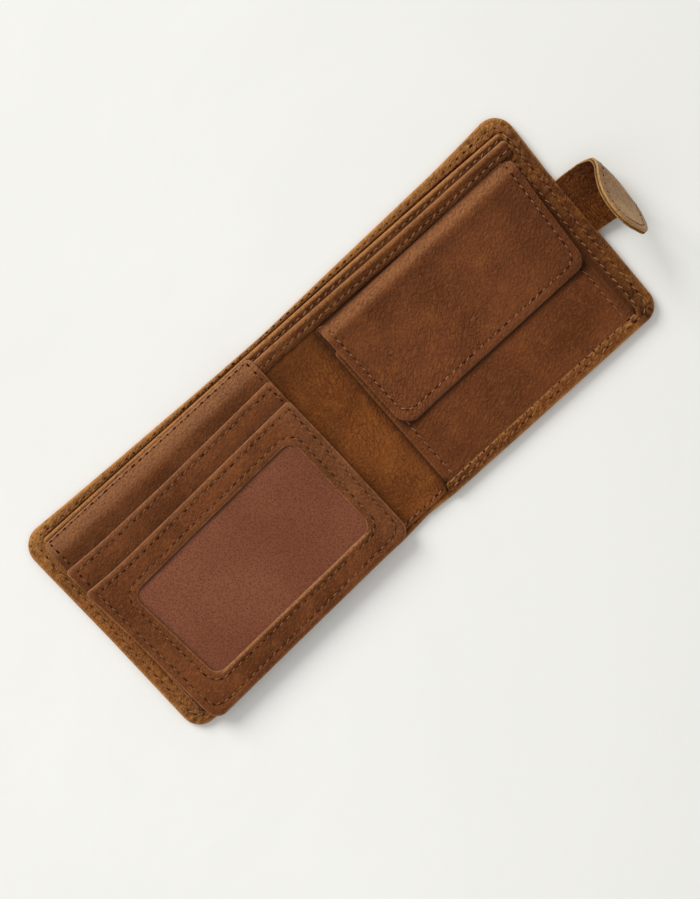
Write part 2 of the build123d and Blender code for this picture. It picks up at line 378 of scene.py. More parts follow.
def make_mesh(name, co, faces, material, place=None):
    """A smooth mesh from points in millimetres. It keeps where they lay flat for the grain."""
    mesh = bpy.data.meshes.new(name)
    co = np.asarray(co, float)
    shown = place(co) if place else co
    mesh.from_pydata((shown * MM).tolist(), [], [list(map(int, f)) for f in faces])
    mesh.update()
    obj = bpy.data.objects.new(name, mesh)
    bpy.context.scene.collection.objects.link(obj)
    mesh.polygons.foreach_set("use_smooth", [True] * len(mesh.polygons))
    mesh.materials.append(material)
    at = mesh.attributes.new("at", "FLOAT_VECTOR", "POINT")
    at.data.foreach_set("vector", (np.asarray(co, np.float32) * MM).ravel())
    return obj


def set_attribute(obj, name, values):
    attribute = obj.data.attributes.new(name, "FLOAT", "POINT")
    attribute.data.foreach_set("value", np.asarray(values, np.float32))


# ---------------------------------------------------------------- stitches

STITCH_PITCH = 3.6
STITCH_LENGTH = 2.4
STITCH_WIDTH, STITCH_FLATNESS = 0.44, 0.62
STITCH_SLANT, SLANT_SPREAD = 13, 6
STITCH_ARCH, STITCH_SUNK = 0.27, 0.10
HOLE_ALONG, HOLE_ACROSS = 0.78, 0.40
# The holes lie a little to one side of the seam's line, so that their painted shade falls beside the thread
HOLE_ASIDE = 0.14
STITCH_RINGS = 7
STITCH_SIDES = 8


def oval(centre, a, b):
    """A ring of points round an oval with the half axes a and b."""
    angle = 2 * np.pi * np.arange(STITCH_SIDES) / STITCH_SIDES
    return centre + np.outer(np.cos(angle), a) + np.outer(np.sin(angle), b)


def tube(start, rings, flip):
    """The faces of a closed tube, whose rings of points are numbered on from start."""
    last = start + (rings - 1) * STITCH_SIDES
    faces = [tuple(start + i for i in range(STITCH_SIDES)),
             tuple(last + i for i in reversed(range(STITCH_SIDES)))]
    for first in range(start, last, STITCH_SIDES):
        for i in range(STITCH_SIDES):
            a, b = first + i, first + (i + 1) % STITCH_SIDES
            faces.append((a + STITCH_SIDES, b + STITCH_SIDES, b, a))
    return [face[::-1] for face in faces] if flip else faces


def stitch(m, t, length, slope, up, sink):
    """One arched stitch: rings across it that dip into the leather at both ends."""
    ahead = np.array([t[0], t[1], slope])
    aside = np.array([-t[1], t[0], 0])
    rings = []
    for u in np.linspace(-1, 1, STITCH_RINGS):
        thick = STITCH_WIDTH / 2 * math.sqrt(max(0.0, 1 - 0.82 * u ** 4))
        lift = STITCH_ARCH * (1 - u * u) - STITCH_SUNK - sink
        rings.append(oval(m + ahead * (u * length / 2) + up * lift, aside * thick,
                          up * STITCH_FLATNESS * thick))
    return rings


def needle_hole_rings(m, t, size, up, sink):
    """A dimple over a needle hole, dark with painted shade: a wide ring in the leather and a smaller one
    above it.
    """
    ahead = np.array([t[0], t[1], 0])
    aside = np.array([-t[1], t[0], 0])
    return [oval(m + aside * HOLE_ASIDE + up * rise, ahead * HOLE_ALONG * size * share,
                 aside * HOLE_ACROSS * size * share)
            for share, rise in ((1.0, -0.12), (0.72, 0.07 - sink))]


def stitches(name, runs, thread, hole, seed=3, sink=0.0, flip=False, place=None, hole_size=1.0):
    """Thread along each (line, surface) run: one arched stitch a pitch, with needle holes."""
    rng = np.random.default_rng(seed)
    up = np.array([0, 0, -1.0 if flip else 1.0])
    co, faces, slots = [], [], []

    def add(rings, slot):
        new_faces = tube(len(co), len(rings), flip != (slot == 1))
        co.extend(np.vstack(rings))
        faces.extend(new_faces)
        slots.extend([slot] * len(new_faces))

    for line, surface in runs:
        spots = resample(line, STITCH_PITCH)
        middles = (spots[1:] + spots[:-1]) / 2
        ahead = spots[1:] - spots[:-1]
        ahead /= np.linalg.norm(ahead, axis=1)[:, None]
        spots = np.column_stack([spots, surface(spots)])
        middles = np.column_stack([middles, surface(middles)])
        slopes = np.diff(spots[:, 2]) / STITCH_PITCH
        for m, t, slope in zip(middles, ahead, slopes):
            slant = math.radians(STITCH_SLANT + SLANT_SPREAD * rng.standard_normal())
            c, s = math.cos(slant), math.sin(slant)
            t = (c * t[0] - s * t[1], s * t[0] + c * t[1])
            # Bigger holes leave shorter stitches between them
            length = (STITCH_LENGTH - 1.5 * (hole_size - 1)) * (1 + 0.10 * rng.standard_normal())
            add(stitch(m, t, length, slope, up, sink), 0)
        for m, t in zip(spots, np.vstack([ahead, ahead[-1:]])):
            size = hole_size * (1 + 0.15 * rng.standard_normal())
            add(needle_hole_rings(m, t, size, up, sink), 1)
    obj = make_mesh(name, np.array(co), faces, thread, place)
    obj.data.materials.append(hole)
    obj.data.polygons.foreach_set("material_index", slots)
    return obj


# ---------------------------------------------------------------- materials

class Shader:
    """A material under construction: adds nodes and links, and keeps the surface shader."""

    def __init__(self, name):
        self.material = bpy.data.materials.new(name)
        self.material.use_nodes = True
        self.tree = self.material.node_tree
        self.main = self.tree.nodes["Principled BSDF"]

    def add(self, kind, *inputs, **settings):
        """Adds a node; an input is a number, a colour or another node's output."""
        node = self.tree.nodes.new(kind)
        for key, value in settings.items():
            setattr(node, key, value)
        for socket, value in zip(node.inputs, inputs):
            self.feed(socket, value)
        return node

    def feed(self, socket, value):
        if value is None:
            return
        if isinstance(value, bpy.types.NodeSocket):
            self.tree.links.new(value, socket)
        else:
            socket.default_value = value

    def attribute(self, name):
        node = self.add("ShaderNodeAttribute", attribute_name=name)
        return node.outputs["Vector" if name == "at" else "Fac"]

    def noise(self, where, scale, detail=4.0, rough=0.55, distortion=0.0):
        node = self.add("ShaderNodeTexNoise", where)
        for key, value in (("Scale", scale), ("Detail", detail), ("Roughness", rough),
                           ("Distortion", distortion)):
            node.inputs[key].default_value = value
        return node.outputs["Fac"]

    def cells(self, where, scale, feature="F1"):
        node = self.add("ShaderNodeTexVoronoi", where, feature=feature)
        node.inputs["Scale"].default_value = scale
        return node.outputs["Distance"]

    def span(self, value, lo, hi, out_lo=0.0, out_hi=1.0):
        node = self.add("ShaderNodeMapRange", value, lo, hi, out_lo, out_hi,
                        interpolation_type="SMOOTHSTEP")
        return node.outputs["Result"]

    def math(self, kind, a, b=None):
        return self.add("ShaderNodeMath", a, b, operation=kind).outputs[0]

    def mix(self, factor, a, b, kind="MIX"):
        node = self.add("ShaderNodeMix", data_type="RGBA", blend_type=kind)
        self.feed(node.inputs[0], factor)
        self.feed(node.inputs[6], a)
        self.feed(node.inputs[7], b)
        return node.outputs[2]

    def scaled(self, where, size, turn=0.0):
        """Stretches a place by each factor, along axes turned by an angle."""
        node = self.add("ShaderNodeMapping", where, vector_type="TEXTURE")
        node.inputs["Scale"].default_value = [1 / max(factor, 1e-6) for factor in size]
        node.inputs["Rotation"].default_value = (0, 0, math.radians(turn))
        return node.outputs[0]

    def bump(self, height, depth_mm, strength=1.0, before=None):
        node = self.add("ShaderNodeBump")
        node.inputs["Strength"].default_value = strength
        node.inputs["Distance"].default_value = depth_mm * MM
        self.feed(node.inputs["Height"], height)
        self.feed(node.inputs["Normal"], before)
        return node.outputs[0]

    def set(self, **values):
        for key, value in values.items():
            self.feed(self.main.inputs[key.replace("_", " ")], value)


def rgb(r, g, b):
    return (r, g, b, 1.0)


def leather(name, dark, mid, light, wear_and_lighting_tone, grain=1.0, edge_wear_and_lighting=0.8, rough=0.52, warm=0.5, turn=35.0,
            reach=0.8, raw=False):
    """Waxed leather: blotched tone, pebbled and wrinkled grain, scuffed pale edges with a painted highlight,
    painted shade along the seams, and painted highlight and shade where each panel says.
    """
    s = Shader(name)
    at = s.attribute("at")
    edge = s.attribute("edge")
    seam = s.attribute("seam")
    shade = s.attribute("shade")
    wear_and_lighting_share = s.attribute("wear_and_lighting")

    def darker(share):
        return rgb(*[c * share for c in dark])

    broad = s.noise(at, 38.0, 3.0, 0.5)
    patch = s.noise(at, 150.0, 6.0, 0.62, 0.6)
    fine = s.noise(at, 1150.0, 3.0, 0.6)
    pebble = s.cells(s.scaled(at, (1.0, 1.25, 1.0), turn), 900.0, "SMOOTH_F1")
    wrinkle = s.noise(s.scaled(at, (0.6, 1.5, 1.0), turn), 480.0, 5.0, 0.62, 1.4)
    pores = s.noise(at, 2600.0, 2.0, 0.5)
    # Long fine creases, only in some patches
    stray = s.add("ShaderNodeTexNoise", at).outputs["Color"]
    stray = s.add("ShaderNodeVectorMath", stray, (0.004, 0.004, 0.0), operation="MULTIPLY").outputs[0]
    bent_at = s.add("ShaderNodeVectorMath", at, stray, operation="ADD").outputs[0]
    crack = s.cells(s.scaled(bent_at, (0.5, 1.4, 1.0), turn), 420.0, "DISTANCE_TO_EDGE")
    where_creased = s.span(s.noise(at, 55.0, 3.0, 0.6), 0.46, 0.62)
    creased = s.math("MULTIPLY", s.span(crack, 0.09, 0.0), where_creased)

    tone = s.mix(s.span(broad, 0.36, 0.64), rgb(*dark), rgb(*mid))
    tone = s.mix(s.span(patch, 0.47, 0.76, 0.0, warm), tone, rgb(*light))
    tone = s.mix(s.span(patch, 0.42, 0.24, 0.0, 0.45), tone, rgb(*dark))
    # Wax wears off the tops of the grain and stays in the hollows
    tone = s.mix(s.span(fine, 0.50, 0.72, 0.0, 0.55), tone, rgb(*light))
    tone = s.mix(s.span(fine, 0.47, 0.28, 0.0, 0.60), tone, darker(0.8))
    tone = s.mix(s.span(wrinkle, 0.40, 0.26, 0.0, 0.6), tone, darker(0.6))
    tone = s.mix(s.math("MULTIPLY", creased, 0.35), tone, darker(0.6))

    # Edges are scuffed paler, more in some places than in others, partly a painted highlight on rolled
    # edges; on the tab's outer face the edge tone is darker, a painted shade
    wear_and_lighting = s.math("MULTIPLY", s.span(edge, reach, 0.08),
                 s.span(s.noise(at, 160.0, 5.0, 0.7), 0.34, 0.66, 0.35 * edge_wear_and_lighting, edge_wear_and_lighting))
    tone = s.mix(wear_and_lighting, tone, rgb(*wear_and_lighting_tone))
    # Painted highlight, partly scuffing, where each panel gives it
    tone = s.mix(s.math("MULTIPLY", wear_and_lighting_share, s.span(fine, 0.30, 0.62, 0.45, 1.0)), tone, rgb(*wear_and_lighting_tone))
    # Painted shade in the grooves along the seams
    tone = s.mix(s.span(seam, 0.75, 0.1, 0.0, 0.45), tone, darker(0.30))
    tone = s.mix(shade, tone, darker(0.42))
    if raw:
        # The cut side shows the pale fibre of the hide
        fibre = s.noise(s.scaled(at, (1.0, 1.0, 4.0)), 900.0, 5.0, 0.7)
        cut = s.mix(s.span(fibre, 0.35, 0.7), rgb(0.24, 0.120, 0.036), rgb(0.52, 0.310, 0.105))
        tone = s.mix(s.span(edge, 0.42, 0.20), tone, cut)
    s.set(Base_Color=tone)

    height = s.math("ADD", s.math("MULTIPLY", pebble, 0.50), s.math("MULTIPLY", wrinkle, 0.85))
    height = s.math("ADD", height, s.math("MULTIPLY", fine, 0.45))
    height = s.math("ADD", height, s.math("MULTIPLY", pores, 0.20))
    height = s.math("SUBTRACT", height, s.math("MULTIPLY", creased, 0.30))
    s.set(Normal=s.bump(height, 0.60 * grain, 1.0))
    s.set(Roughness=s.span(patch, 0.25, 0.75, rough - 0.07, rough + 0.13))
    s.set(Specular_IOR_Level=0.26, Specular_Tint=rgb(1.0, 0.62, 0.36))
    return s.material


def window(name):
    """Hazed clear film lying on red-brown leather, with a fine speckle."""
    s = Shader(name)
    at = s.attribute("at")
    shade = s.attribute("shade")
    speck = s.noise(at, 1500.0, 3.0, 0.65)
    weave = s.cells(at, 1250.0)
    cloud = s.noise(at, 30.0, 3.0, 0.5)
    tone = s.mix(s.span(cloud, 0.3, 0.7), rgb(0.150, 0.038, 0.0140), rgb(0.200, 0.059, 0.0260))
    tone = s.mix(s.span(speck, 0.38, 0.72, 0.0, 0.5), tone, rgb(0.265, 0.092, 0.046))
    tone = s.mix(s.span(weave, 0.60, 0.05, 0.0, 0.8), tone, rgb(0.066, 0.017, 0.006))
    tone = s.mix(shade, tone, rgb(0.040, 0.011, 0.004))
    s.set(Base_Color=tone, Roughness=s.span(cloud, 0.3, 0.7, 0.40, 0.50))
    s.set(Normal=s.bump(speck, 0.16, 0.7))
    s.set(Specular_IOR_Level=0.30, Specular_Tint=rgb(1.0, 0.80, 0.62))
    s.set(Coat_Weight=0.10, Coat_Roughness=0.32)
    return s.material


def thread_material(name, level=1.0):
    s = Shader(name)
    at = s.attribute("at")
    fibre = s.noise(at, 2600.0, 3.0, 0.6)
    broad = s.noise(at, 60.0, 3.0, 0.6)
    dark, mid, light = [rgb(*[level * c for c in tint])
                        for tint in ((0.205, 0.080, 0.031), (0.310, 0.132, 0.056), (0.42, 0.21, 0.10))]
    tone = s.mix(s.span(broad, 0.3, 0.7), dark, mid)
    tone = s.mix(s.span(fibre, 0.3, 0.75, 0.0, 0.5), tone, light)
    s.set(Base_Color=tone, Roughness=0.62, Normal=s.bump(fibre, 0.10), Specular_IOR_Level=0.25)
    return s.material


def needle_hole(name):
    s = Shader(name)
    shade = s.noise(s.attribute("at"), 1500.0)
    s.set(Base_Color=s.mix(shade, rgb(0.022, 0.006, 0.0015), rgb(0.046, 0.013, 0.004)))
    s.set(Roughness=0.95, Specular_IOR_Level=0.02)
    return s.material


def cad_place(s):
    """Where a CAD node's point lies, in metres: its object never moves, so object space will do."""
    return s.add("ShaderNodeTexCoord").outputs["Object"]


def cloth(name):
    s = Shader(name)
    at = cad_place(s)
    warp = s.add("ShaderNodeTexWave", at, wave_type="BANDS", bands_direction="X")
    weft = s.add("ShaderNodeTexWave", at, wave_type="BANDS", bands_direction="Y")
    for wave in (warp, weft):
        wave.inputs["Scale"].default_value = 700.0
        wave.inputs["Distortion"].default_value = 0.4
    weave = s.math("MULTIPLY", warp.outputs["Fac"], weft.outputs["Fac"])
    s.set(Base_Color=s.mix(weave, rgb(0.06, 0.03, 0.018), rgb(0.13, 0.07, 0.04)), Roughness=0.9)
    s.set(Normal=s.bump(weave, 0.08))
    return s.material


def metal(name, tint, rough):
    s = Shader(name)
    at = cad_place(s)
    brushed = s.noise(s.scaled(at, (1.0, 12.0, 1.0)), 500.0, 4.0, 0.6)
    s.set(Base_Color=rgb(*tint), Metallic=1.0, Roughness=s.span(brushed, 0.3, 0.7, rough, rough + 0.12))
    s.set(Normal=s.bump(brushed, 0.01))
    return s.material


def plain_leather(name, dark, light):
    """Leather for the CAD's own hidden blocks, with the same grain and no seams."""
    s = Shader(name)
    at = cad_place(s)
    patch = s.noise(at, 170.0, 6.0, 0.62, 0.6)
    pebble = s.cells(at, 820.0, "SMOOTH_F1")
    s.set(Base_Color=s.mix(s.span(patch, 0.3, 0.7), rgb(*dark), rgb(*light)), Roughness=0.6)
    s.set(Normal=s.bump(pebble, 0.14, 0.8))
    return s.material


DARK = (0.092, 0.0240, 0.0060)
LIGHT = (0.245, 0.079, 0.021)
WEAR_AND_LIGHTING_TONE = (0.360, 0.148, 0.050)
LEAF_LEATHER = leather(
    "leaf_leather", DARK, (0.152, 0.0445, 0.0135), LIGHT, (0.355, 0.155, 0.068), grain=0.8, turn=25.0)
FLAP_LEATHER = leather(
    "flap_leather", (0.108, 0.0285, 0.0082), (0.152, 0.0430, 0.0132), LIGHT, (0.360, 0.148, 0.058),
    grain=1.25, edge_wear_and_lighting=0.5, turn=38.0)
COIN_LEATHER = leather(
    "coin_leather", (0.096, 0.0245, 0.0064), (0.134, 0.0360, 0.0098), LIGHT, WEAR_AND_LIGHTING_TONE, edge_wear_and_lighting=0.4, turn=20.0)
SPINE_LEATHER = leather(
    "spine_leather", (0.120, 0.0310, 0.0058), (0.190, 0.0540, 0.0112), (0.27, 0.090, 0.018), WEAR_AND_LIGHTING_TONE,
    grain=1.2, edge_wear_and_lighting=0.6, rough=0.60, turn=70.0)
HEM_LEATHER = leather(
    "hem_leather", (0.104, 0.0270, 0.0056), (0.190, 0.0535, 0.0115), (0.36, 0.122, 0.025),
    (0.52, 0.235, 0.066), grain=1.5, edge_wear_and_lighting=0.95, rough=0.55, warm=0.9, reach=1.5)
OUTER_LEATHER = leather(
    "outer_leather", (0.115, 0.0310, 0.0068), (0.175, 0.0500, 0.0118), (0.26, 0.088, 0.022),
    (0.40, 0.165, 0.045), grain=1.1, edge_wear_and_lighting=0.9, rough=0.55, warm=0.4, turn=25.0, reach=1.5)
STRIP_LEATHER = leather(
    "strip_leather", (0.104, 0.0280, 0.0068), (0.176, 0.0530, 0.0145), (0.30, 0.110, 0.030),
    (0.40, 0.175, 0.060), edge_wear_and_lighting=1.0, rough=0.46, warm=0.6, turn=0.0)
TAB_INNER_LEATHER = leather(
    "tab_inner_leather", (0.064, 0.0150, 0.0022), (0.122, 0.0305, 0.0042), (0.22, 0.066, 0.011),
    (0.22, 0.080, 0.019), grain=1.7, edge_wear_and_lighting=0.7, rough=0.50, turn=90.0, reach=0.6, raw=True)
TAB_OUTER_LEATHER = leather(
    "tab_outer_leather", (0.19, 0.082, 0.026), (0.34, 0.178, 0.062), (0.48, 0.29, 0.115),
    (0.17, 0.072, 0.024), grain=0.8, edge_wear_and_lighting=0.9, rough=0.34, warm=0.7, reach=2.4, raw=True)
FLESH = leather(
    "flesh_side", (0.11, 0.040, 0.014), (0.15, 0.058, 0.021), (0.21, 0.09, 0.035), (0.24, 0.11, 0.045),
    grain=1.3, edge_wear_and_lighting=0.5, rough=0.85)
FILM = window("hazed_film")
THREAD = thread_material("waxed_thread", 0.95)
LEAF_THREAD = thread_material("leaf_waxed_thread", 0.75)
DARK_THREAD = thread_material("dark_waxed_thread", 0.35)
HOLE = needle_hole("needle_hole_shade")
LINING = cloth("lining_cloth")
STEEL = metal("steel", (0.50, 0.50, 0.51), 0.30)
NICKEL = metal("nickel", (0.60, 0.57, 0.52), 0.22)
BLOCK_LEATHER = plain_leather("block_leather", DARK, (0.15, 0.05, 0.015))


# ---------------------------------------------------------------- the open shell

def stands_for(nodes, slot):
    """A finished mesh stands for some CAD nodes, which are hidden; the slot is not used."""
    if nodes:
        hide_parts(*nodes)


def piece(obj, body, *nodes, slot="leather"):
    """A finished mesh rides on one body."""
    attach(obj, body)
    stands_for(nodes, slot)


def bent(obj, cover, *nodes, slot="leather"):
    """A finished mesh has its placement baked into its points and stands for some CAD nodes."""
    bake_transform(obj)
    stands_for(nodes, slot)


def path(*points, step=1.6):
    return resample(np.array(points, float), step)


# The turned-over hem stands above the pockets on both covers and is low elsewhere
HEM_HIGH_RIGHT, HEM_HIGH_LEFT, HEM_SPINE = 4.35, 3.55, 2.35
HEM_STEP_X = 12.5
RIGHT_OUTLINE = rounded(
    [(0, -47.9), (12.4, -48.8), (50, -49.3), (119.5, -49.9), (121.0, -20), (122.4, 18),
     (125.0, 49.6), (104, 48.3), (90, 47.6), (50, 46.9), (18, 46.3), (0, 45.9)],
    [0, 25, 90, 7.5, 200, 90, 8.0, 60, 90, 90, 60, 0])
LEFT_OUTLINE = rounded(
    [(0, -47.9), (0, 45.9), (-30, 46.6), (-75, 48.2), (-100, 49.2), (-123.4, 50.3),
     (-122.0, 0), (-121.4, -50.1), (-60, -49.2), (-12.4, -48.8)],
    [0, 0, 90, 90, 90, 8.5, 200, 8.0, 90, 25])
# The hem's inner edge; each outline goes on a little past the middle, where the halves meet
RIGHT_OPENING = np.array([
    (-1, 44.5), (-1, -45.6), (12.5, -45.6), (12.7, -43.6), (60, -43.7), (111.2, -44.2), (112.3, 0),
    (114.0, 30.0), (117.4, 31.6), (117.9, 42.3), (95, 43.1), (35, 44.1), (0, 44.5)])
LEFT_OPENING = np.array([
    (1, 44.5), (-60, 45.0), (-115.0, 45.4), (-115.2, 40.5), (-114.6, -44.2), (-60, -43.7),
    (-12.7, -43.6), (-12.5, -45.6), (1, -45.6)])
# What the corners' gathers turn about
HEM_CORNERS = ((115.0, 40.2), (111.2, -41.2), (-113.6, 40.6), (-112.8, -41.5))


def pleats(x, y, corner, reach=9.5):
    """Radial gathers where the turned leather is drawn in round a corner."""
    dx, dy = x - corner[0], y - corner[1]
    radius = np.hypot(dx, dy)
    angle = np.arctan2(dy, dx)
    wave = np.sin(angle * 15 + 3.2 * lump(x, y, 5.0, 31.0)) + 0.5 * np.sin(angle * 29 + radius * 0.9)
    wave *= np.clip(0.45 + 1.5 * lump(x, y, 4.5, 40.0), 0.1, 1)
    return 0.40 * wave * smooth(reach + 3.5, reach, radius) * smooth(1.0, 5.0, radius)


def hem_creases(x, y):
    """Short creases across the turned leather, where it has been worked round its edge."""
    along = np.where(np.abs(x) > 108, y, x)
    ripple = np.sin(along * 2.3 + 3.0 * lump(x, y, 5.0, 33.0)) * lump(x, y, 3.2, 34.0)
    return 0.26 * ripple * np.clip(0.35 + lump(x, y, 17.0, 35.0), 0, 1)


def hem_wear_and_highlight(x, y):
    """Paler at the gathers, on the crests, along the inner edge and on the upper strip: wax scuffed off,
    partly a painted highlight.
    """
    crests = np.clip(lump(x, y, 1.7, 36.0) * 1.6, 0, 1)
    wear_and_lighting = 0.55 * crests * np.clip(0.45 + lump(x, y, 14.0, 37.0), 0, 1)
    for cx, cy in HEM_CORNERS:
        near = smooth(14.0, 8.0, np.hypot(x - cx, y - cy))
        wear_and_lighting += 0.55 * near * np.clip(0.1 + 1.8 * lump(x, y, 1.5, 38.0), 0, 1)
        wear_and_lighting += np.clip(0.9 * pleats(x, y, (cx, cy)), 0, 0.5)
    inner = np.interp(x, [12.7, 60, 111.2], [-43.6, -43.7, -44.2])
    wear_and_lighting += np.exp(-((y - inner + 0.25) / 0.4) ** 2) * smooth(12.0, 14.0, x) * smooth(111.5, 109.0, x)
    return wear_and_lighting + 0.52 * smooth(43.0, 45.0, y) + 0.16 * smooth(-112, -116, x)


def hem_shade(x, y):
    """The hem is darker on the coin side, and dark in its hollows."""
    side = 0.30 * smooth(109, 114, x) * smooth(46, 38, y)
    side += 0.40 * smooth(108, 111, x) * smooth(117, 114, x) * smooth(30, 10, y)
    side += 0.35 * np.clip(lump(x, y, 2.6, 39.0), 0, 1)
    for corner in HEM_CORNERS:
        side += np.clip(-1.3 * pleats(x, y, corner), 0, 0.6)
    return side


def hem_height(x, y):
    """How high the turned-over hem stands at each point."""
    high = np.where(x > 0, HEM_HIGH_RIGHT, HEM_HIGH_LEFT)
    bottom = HEM_SPINE + (high - HEM_SPINE) * smooth(HEM_STEP_X - 0.35, HEM_STEP_X + 0.35, np.abs(x))
    return bottom + (HEM_Z + 0.55 - bottom) * smooth(37.0, 43.2, y)


def shell_top(opening):
    """The shell's upper face: bare leather in the opening and the hem round it."""
    loop = closed(opening)

    def top(x, y):
        p = np.stack([x, y], 1)
        gap = distance(p, [loop])
        gap = np.where(inside(p, opening), -gap, gap)
        return SHELL_Z + (hem_height(x, y) - SHELL_Z) * smooth(-0.35, 0.25, gap)
    return top


def shell_relief(x, y, edge):
    """Gathers at the corners, and the hem's slope down to its outer edge."""
    extra = np.zeros(len(x))
    for corner in HEM_CORNERS:
        extra += pleats(x, y, corner)
    extra += hem_creases(x, y) * smooth(0.2, 1.5, edge)
    slope = smooth(5.5, 0.5, edge) * np.where(hem_height(x, y) > 3, 0.75, 0.1)
    return extra - slope


def hem_rows(opening):
    """Close rows of mesh points along the hem's inner edge."""
    loop = closed(opening)
    return [inset(resample(loop, 1.5)[:-1], d) for d in (-0.25, -0.05, 0.15, 0.35)]


RIGHT_SEAMS = [
    path((14.2, -46.3), (60, -46.6), (112.8, -47.0), (116.3, -44.6), (117.6, 0), (119.6, 40.2),
         (118.6, 44.4)),
    path((14.2, -44.3), (60, -44.35), (110.4, -44.8)),
    path((112.6, -42.4), (114.0, 0), (115.5, 29.5)),
    path((1.5, 45.2), (18, 45.2), (50, 45.1), (90, 44.9), (114.8, 45.1)),
]
LEFT_SEAMS = [
    path((-118.6, 42.0), (-118.6, 0), (-118.3, -42.5), (-115.4, -46.4), (-60, -45.9), (-14.2, -45.7)),
    path((-1.5, 45.2), (-30, 45.4), (-75, 46.0), (-100, 46.4), (-114.6, 46.8)),
]


def outer_face(seams):
    """The underside is pulled in a little along its stitching."""
    def bottom(x, y):
        return SEAM_PULL * np.exp(-(distance(np.stack([x, y], 1), seams) / 0.7) ** 2)
    return bottom


def shell_half(outline, opening, seams, outer_seams):
    """One half of the shell, from its outer edge to the middle of the spine."""
    return Panel(outline, outer_face(outer_seams), shell_top(opening), seams=seams,
                 relief=shell_relief, wear_and_lighting=hem_wear_and_highlight, shade=hem_shade, roll=1.25, lumps=0.09,
                 seed=11.0, ridge=0.06, extra=hem_rows(opening), cut=0.0)


# Two of the right half's seams go through to the outside
RIGHT_OUTER_SEAMS = [RIGHT_SEAMS[0], RIGHT_SEAMS[3]]
shell_right = shell_half(RIGHT_OUTLINE, RIGHT_OPENING, RIGHT_SEAMS, RIGHT_OUTER_SEAMS)
shell_left = shell_half(LEFT_OUTLINE, LEFT_OPENING, LEFT_SEAMS, LEFT_SEAMS)
bent(shell_right.build("shell_right", HEM_LEATHER, OUTER_LEATHER), "right_cover",
     "right_cover_leather")
bent(shell_left.build("shell_left", HEM_LEATHER, OUTER_LEATHER), "left_cover",
     "left_cover_leather", "spine_leather")

# The divider of the note compartment: its upper edge is free and runs below the shell's
DIVIDER_RIGHT = rounded(
    [(0, -45.4), (60, -45.4), (112.6, -45.4), (114.6, 29.5), (118.2, 31.0), (118.6, 41.9),
     (95, 42.6), (35, 43.6), (0, 44.0)], [0, 0, 2, 1, 1, 1.2, 90, 90, 0])
DIVIDER_LEFT = rounded(
    [(0, -45.4), (0, 44.0), (-60, 44.5), (-115.6, 44.9), (-116.2, -45.4), (-60, -45.4)],
    [0, 0, 90, 1.2, 2, 0])


def fold_groove(x):
    """The layers dip beside the leaf, whose edge turns in there when the left cover folds up."""
    return -0.65 * np.exp(-((x + 8.6) / 2.6) ** 2)


def divider_crest(x, y, edge):
    """The divider's folded edge stands a little proud and falls away below it."""
    return 0.38 * np.exp(-((edge - 0.9) / 0.9) ** 2) * smooth(35, 40, y) + fold_groove(x)


def divider_down(x, y):
    """How far below the divider's upper edge a point is."""
    return np.interp(x, [-116, 0, 35, 95, 115], [44.9, 44.0, 43.6, 42.6, 42.1]) - y


def divider_shade(x, y):
    """Painted shade below the folded edge."""
    return 0.65 * smooth(1.2, 3.4, divider_down(x, y))


def divider_wear_and_highlight(x, y):
    """The folded edge is scuffed pale, with a painted highlight along it."""
    return 0.95 * smooth(1.9, 0.7, divider_down(x, y))


def divider_half(outline, seam):
    return Panel(outline, HEM_Z + 0.02, DIVIDER_Z + 0.25, roll=0.5, spacing=3.6, seed=12.0, cut=0.0,
                 relief=divider_crest, shade=divider_shade, wear_and_lighting=divider_wear_and_highlight, seams=[seam])


divider_right = divider_half(DIVIDER_RIGHT, path((1.0, 41.2), (35, 40.9), (95, 39.9), (117.2, 39.4)))
divider_left = divider_half(DIVIDER_LEFT, path((-1.0, 41.2), (-60, 41.7), (-114.2, 42.1)))
bent(divider_right.build("divider_right", STRIP_LEATHER, FLESH), "right_cover", "right_note_divider")
bent(divider_left.build("divider_left", STRIP_LEATHER, FLESH), "left_cover", "left_note_divider",
     "spine_note_divider")


# ---------------------------------------------------------------- the spine and the bound pocket edge

def spine_sag(x, y, edge):
    """The spine's leather lies in a shallow trough between the covers, with a few soft creases."""
    trough = -0.28 * np.exp(-((x + 1.0) / 7.5) ** 2)
    wave = np.sin(x * 0.95 + 0.9 * lump(x, y, 16.0, 51.0))
    crease = 0.16 * wave * np.exp(-((x + 1.0) / 13.0) ** 2)
    foot = 0.22 * smooth(-28, -42, y) * np.exp(-(x / 10.0) ** 2)
    return trough + crease + fold_groove(x) + foot


def pocket_side(y):
    """The x of the coin pocket's left side."""
    return np.interp(y, [-45, 33], [12.6, 15.3])


def spine_shade(x, y):
    """Dark at the top and close beside the coin pocket."""
    beside = pocket_side(y) - x
    return 0.45 * smooth(8, 34, y) + 0.25 * smooth(9.0, 13.5, x) + 0.60 * smooth(1.9, 0.3, beside)


PANEL_TOP = PANEL_Z + 0.35


def panel_bottom(x, y):
    return DIVIDER_Z + fold_groove(x)


def card_panel_half(outline, seam):
    return Panel(outline, panel_bottom, PANEL_TOP, roll=0.5, relief=spine_sag, shade=spine_shade,
                 lumps=0.10, seed=14.0, cut=0.0, seams=[seam])


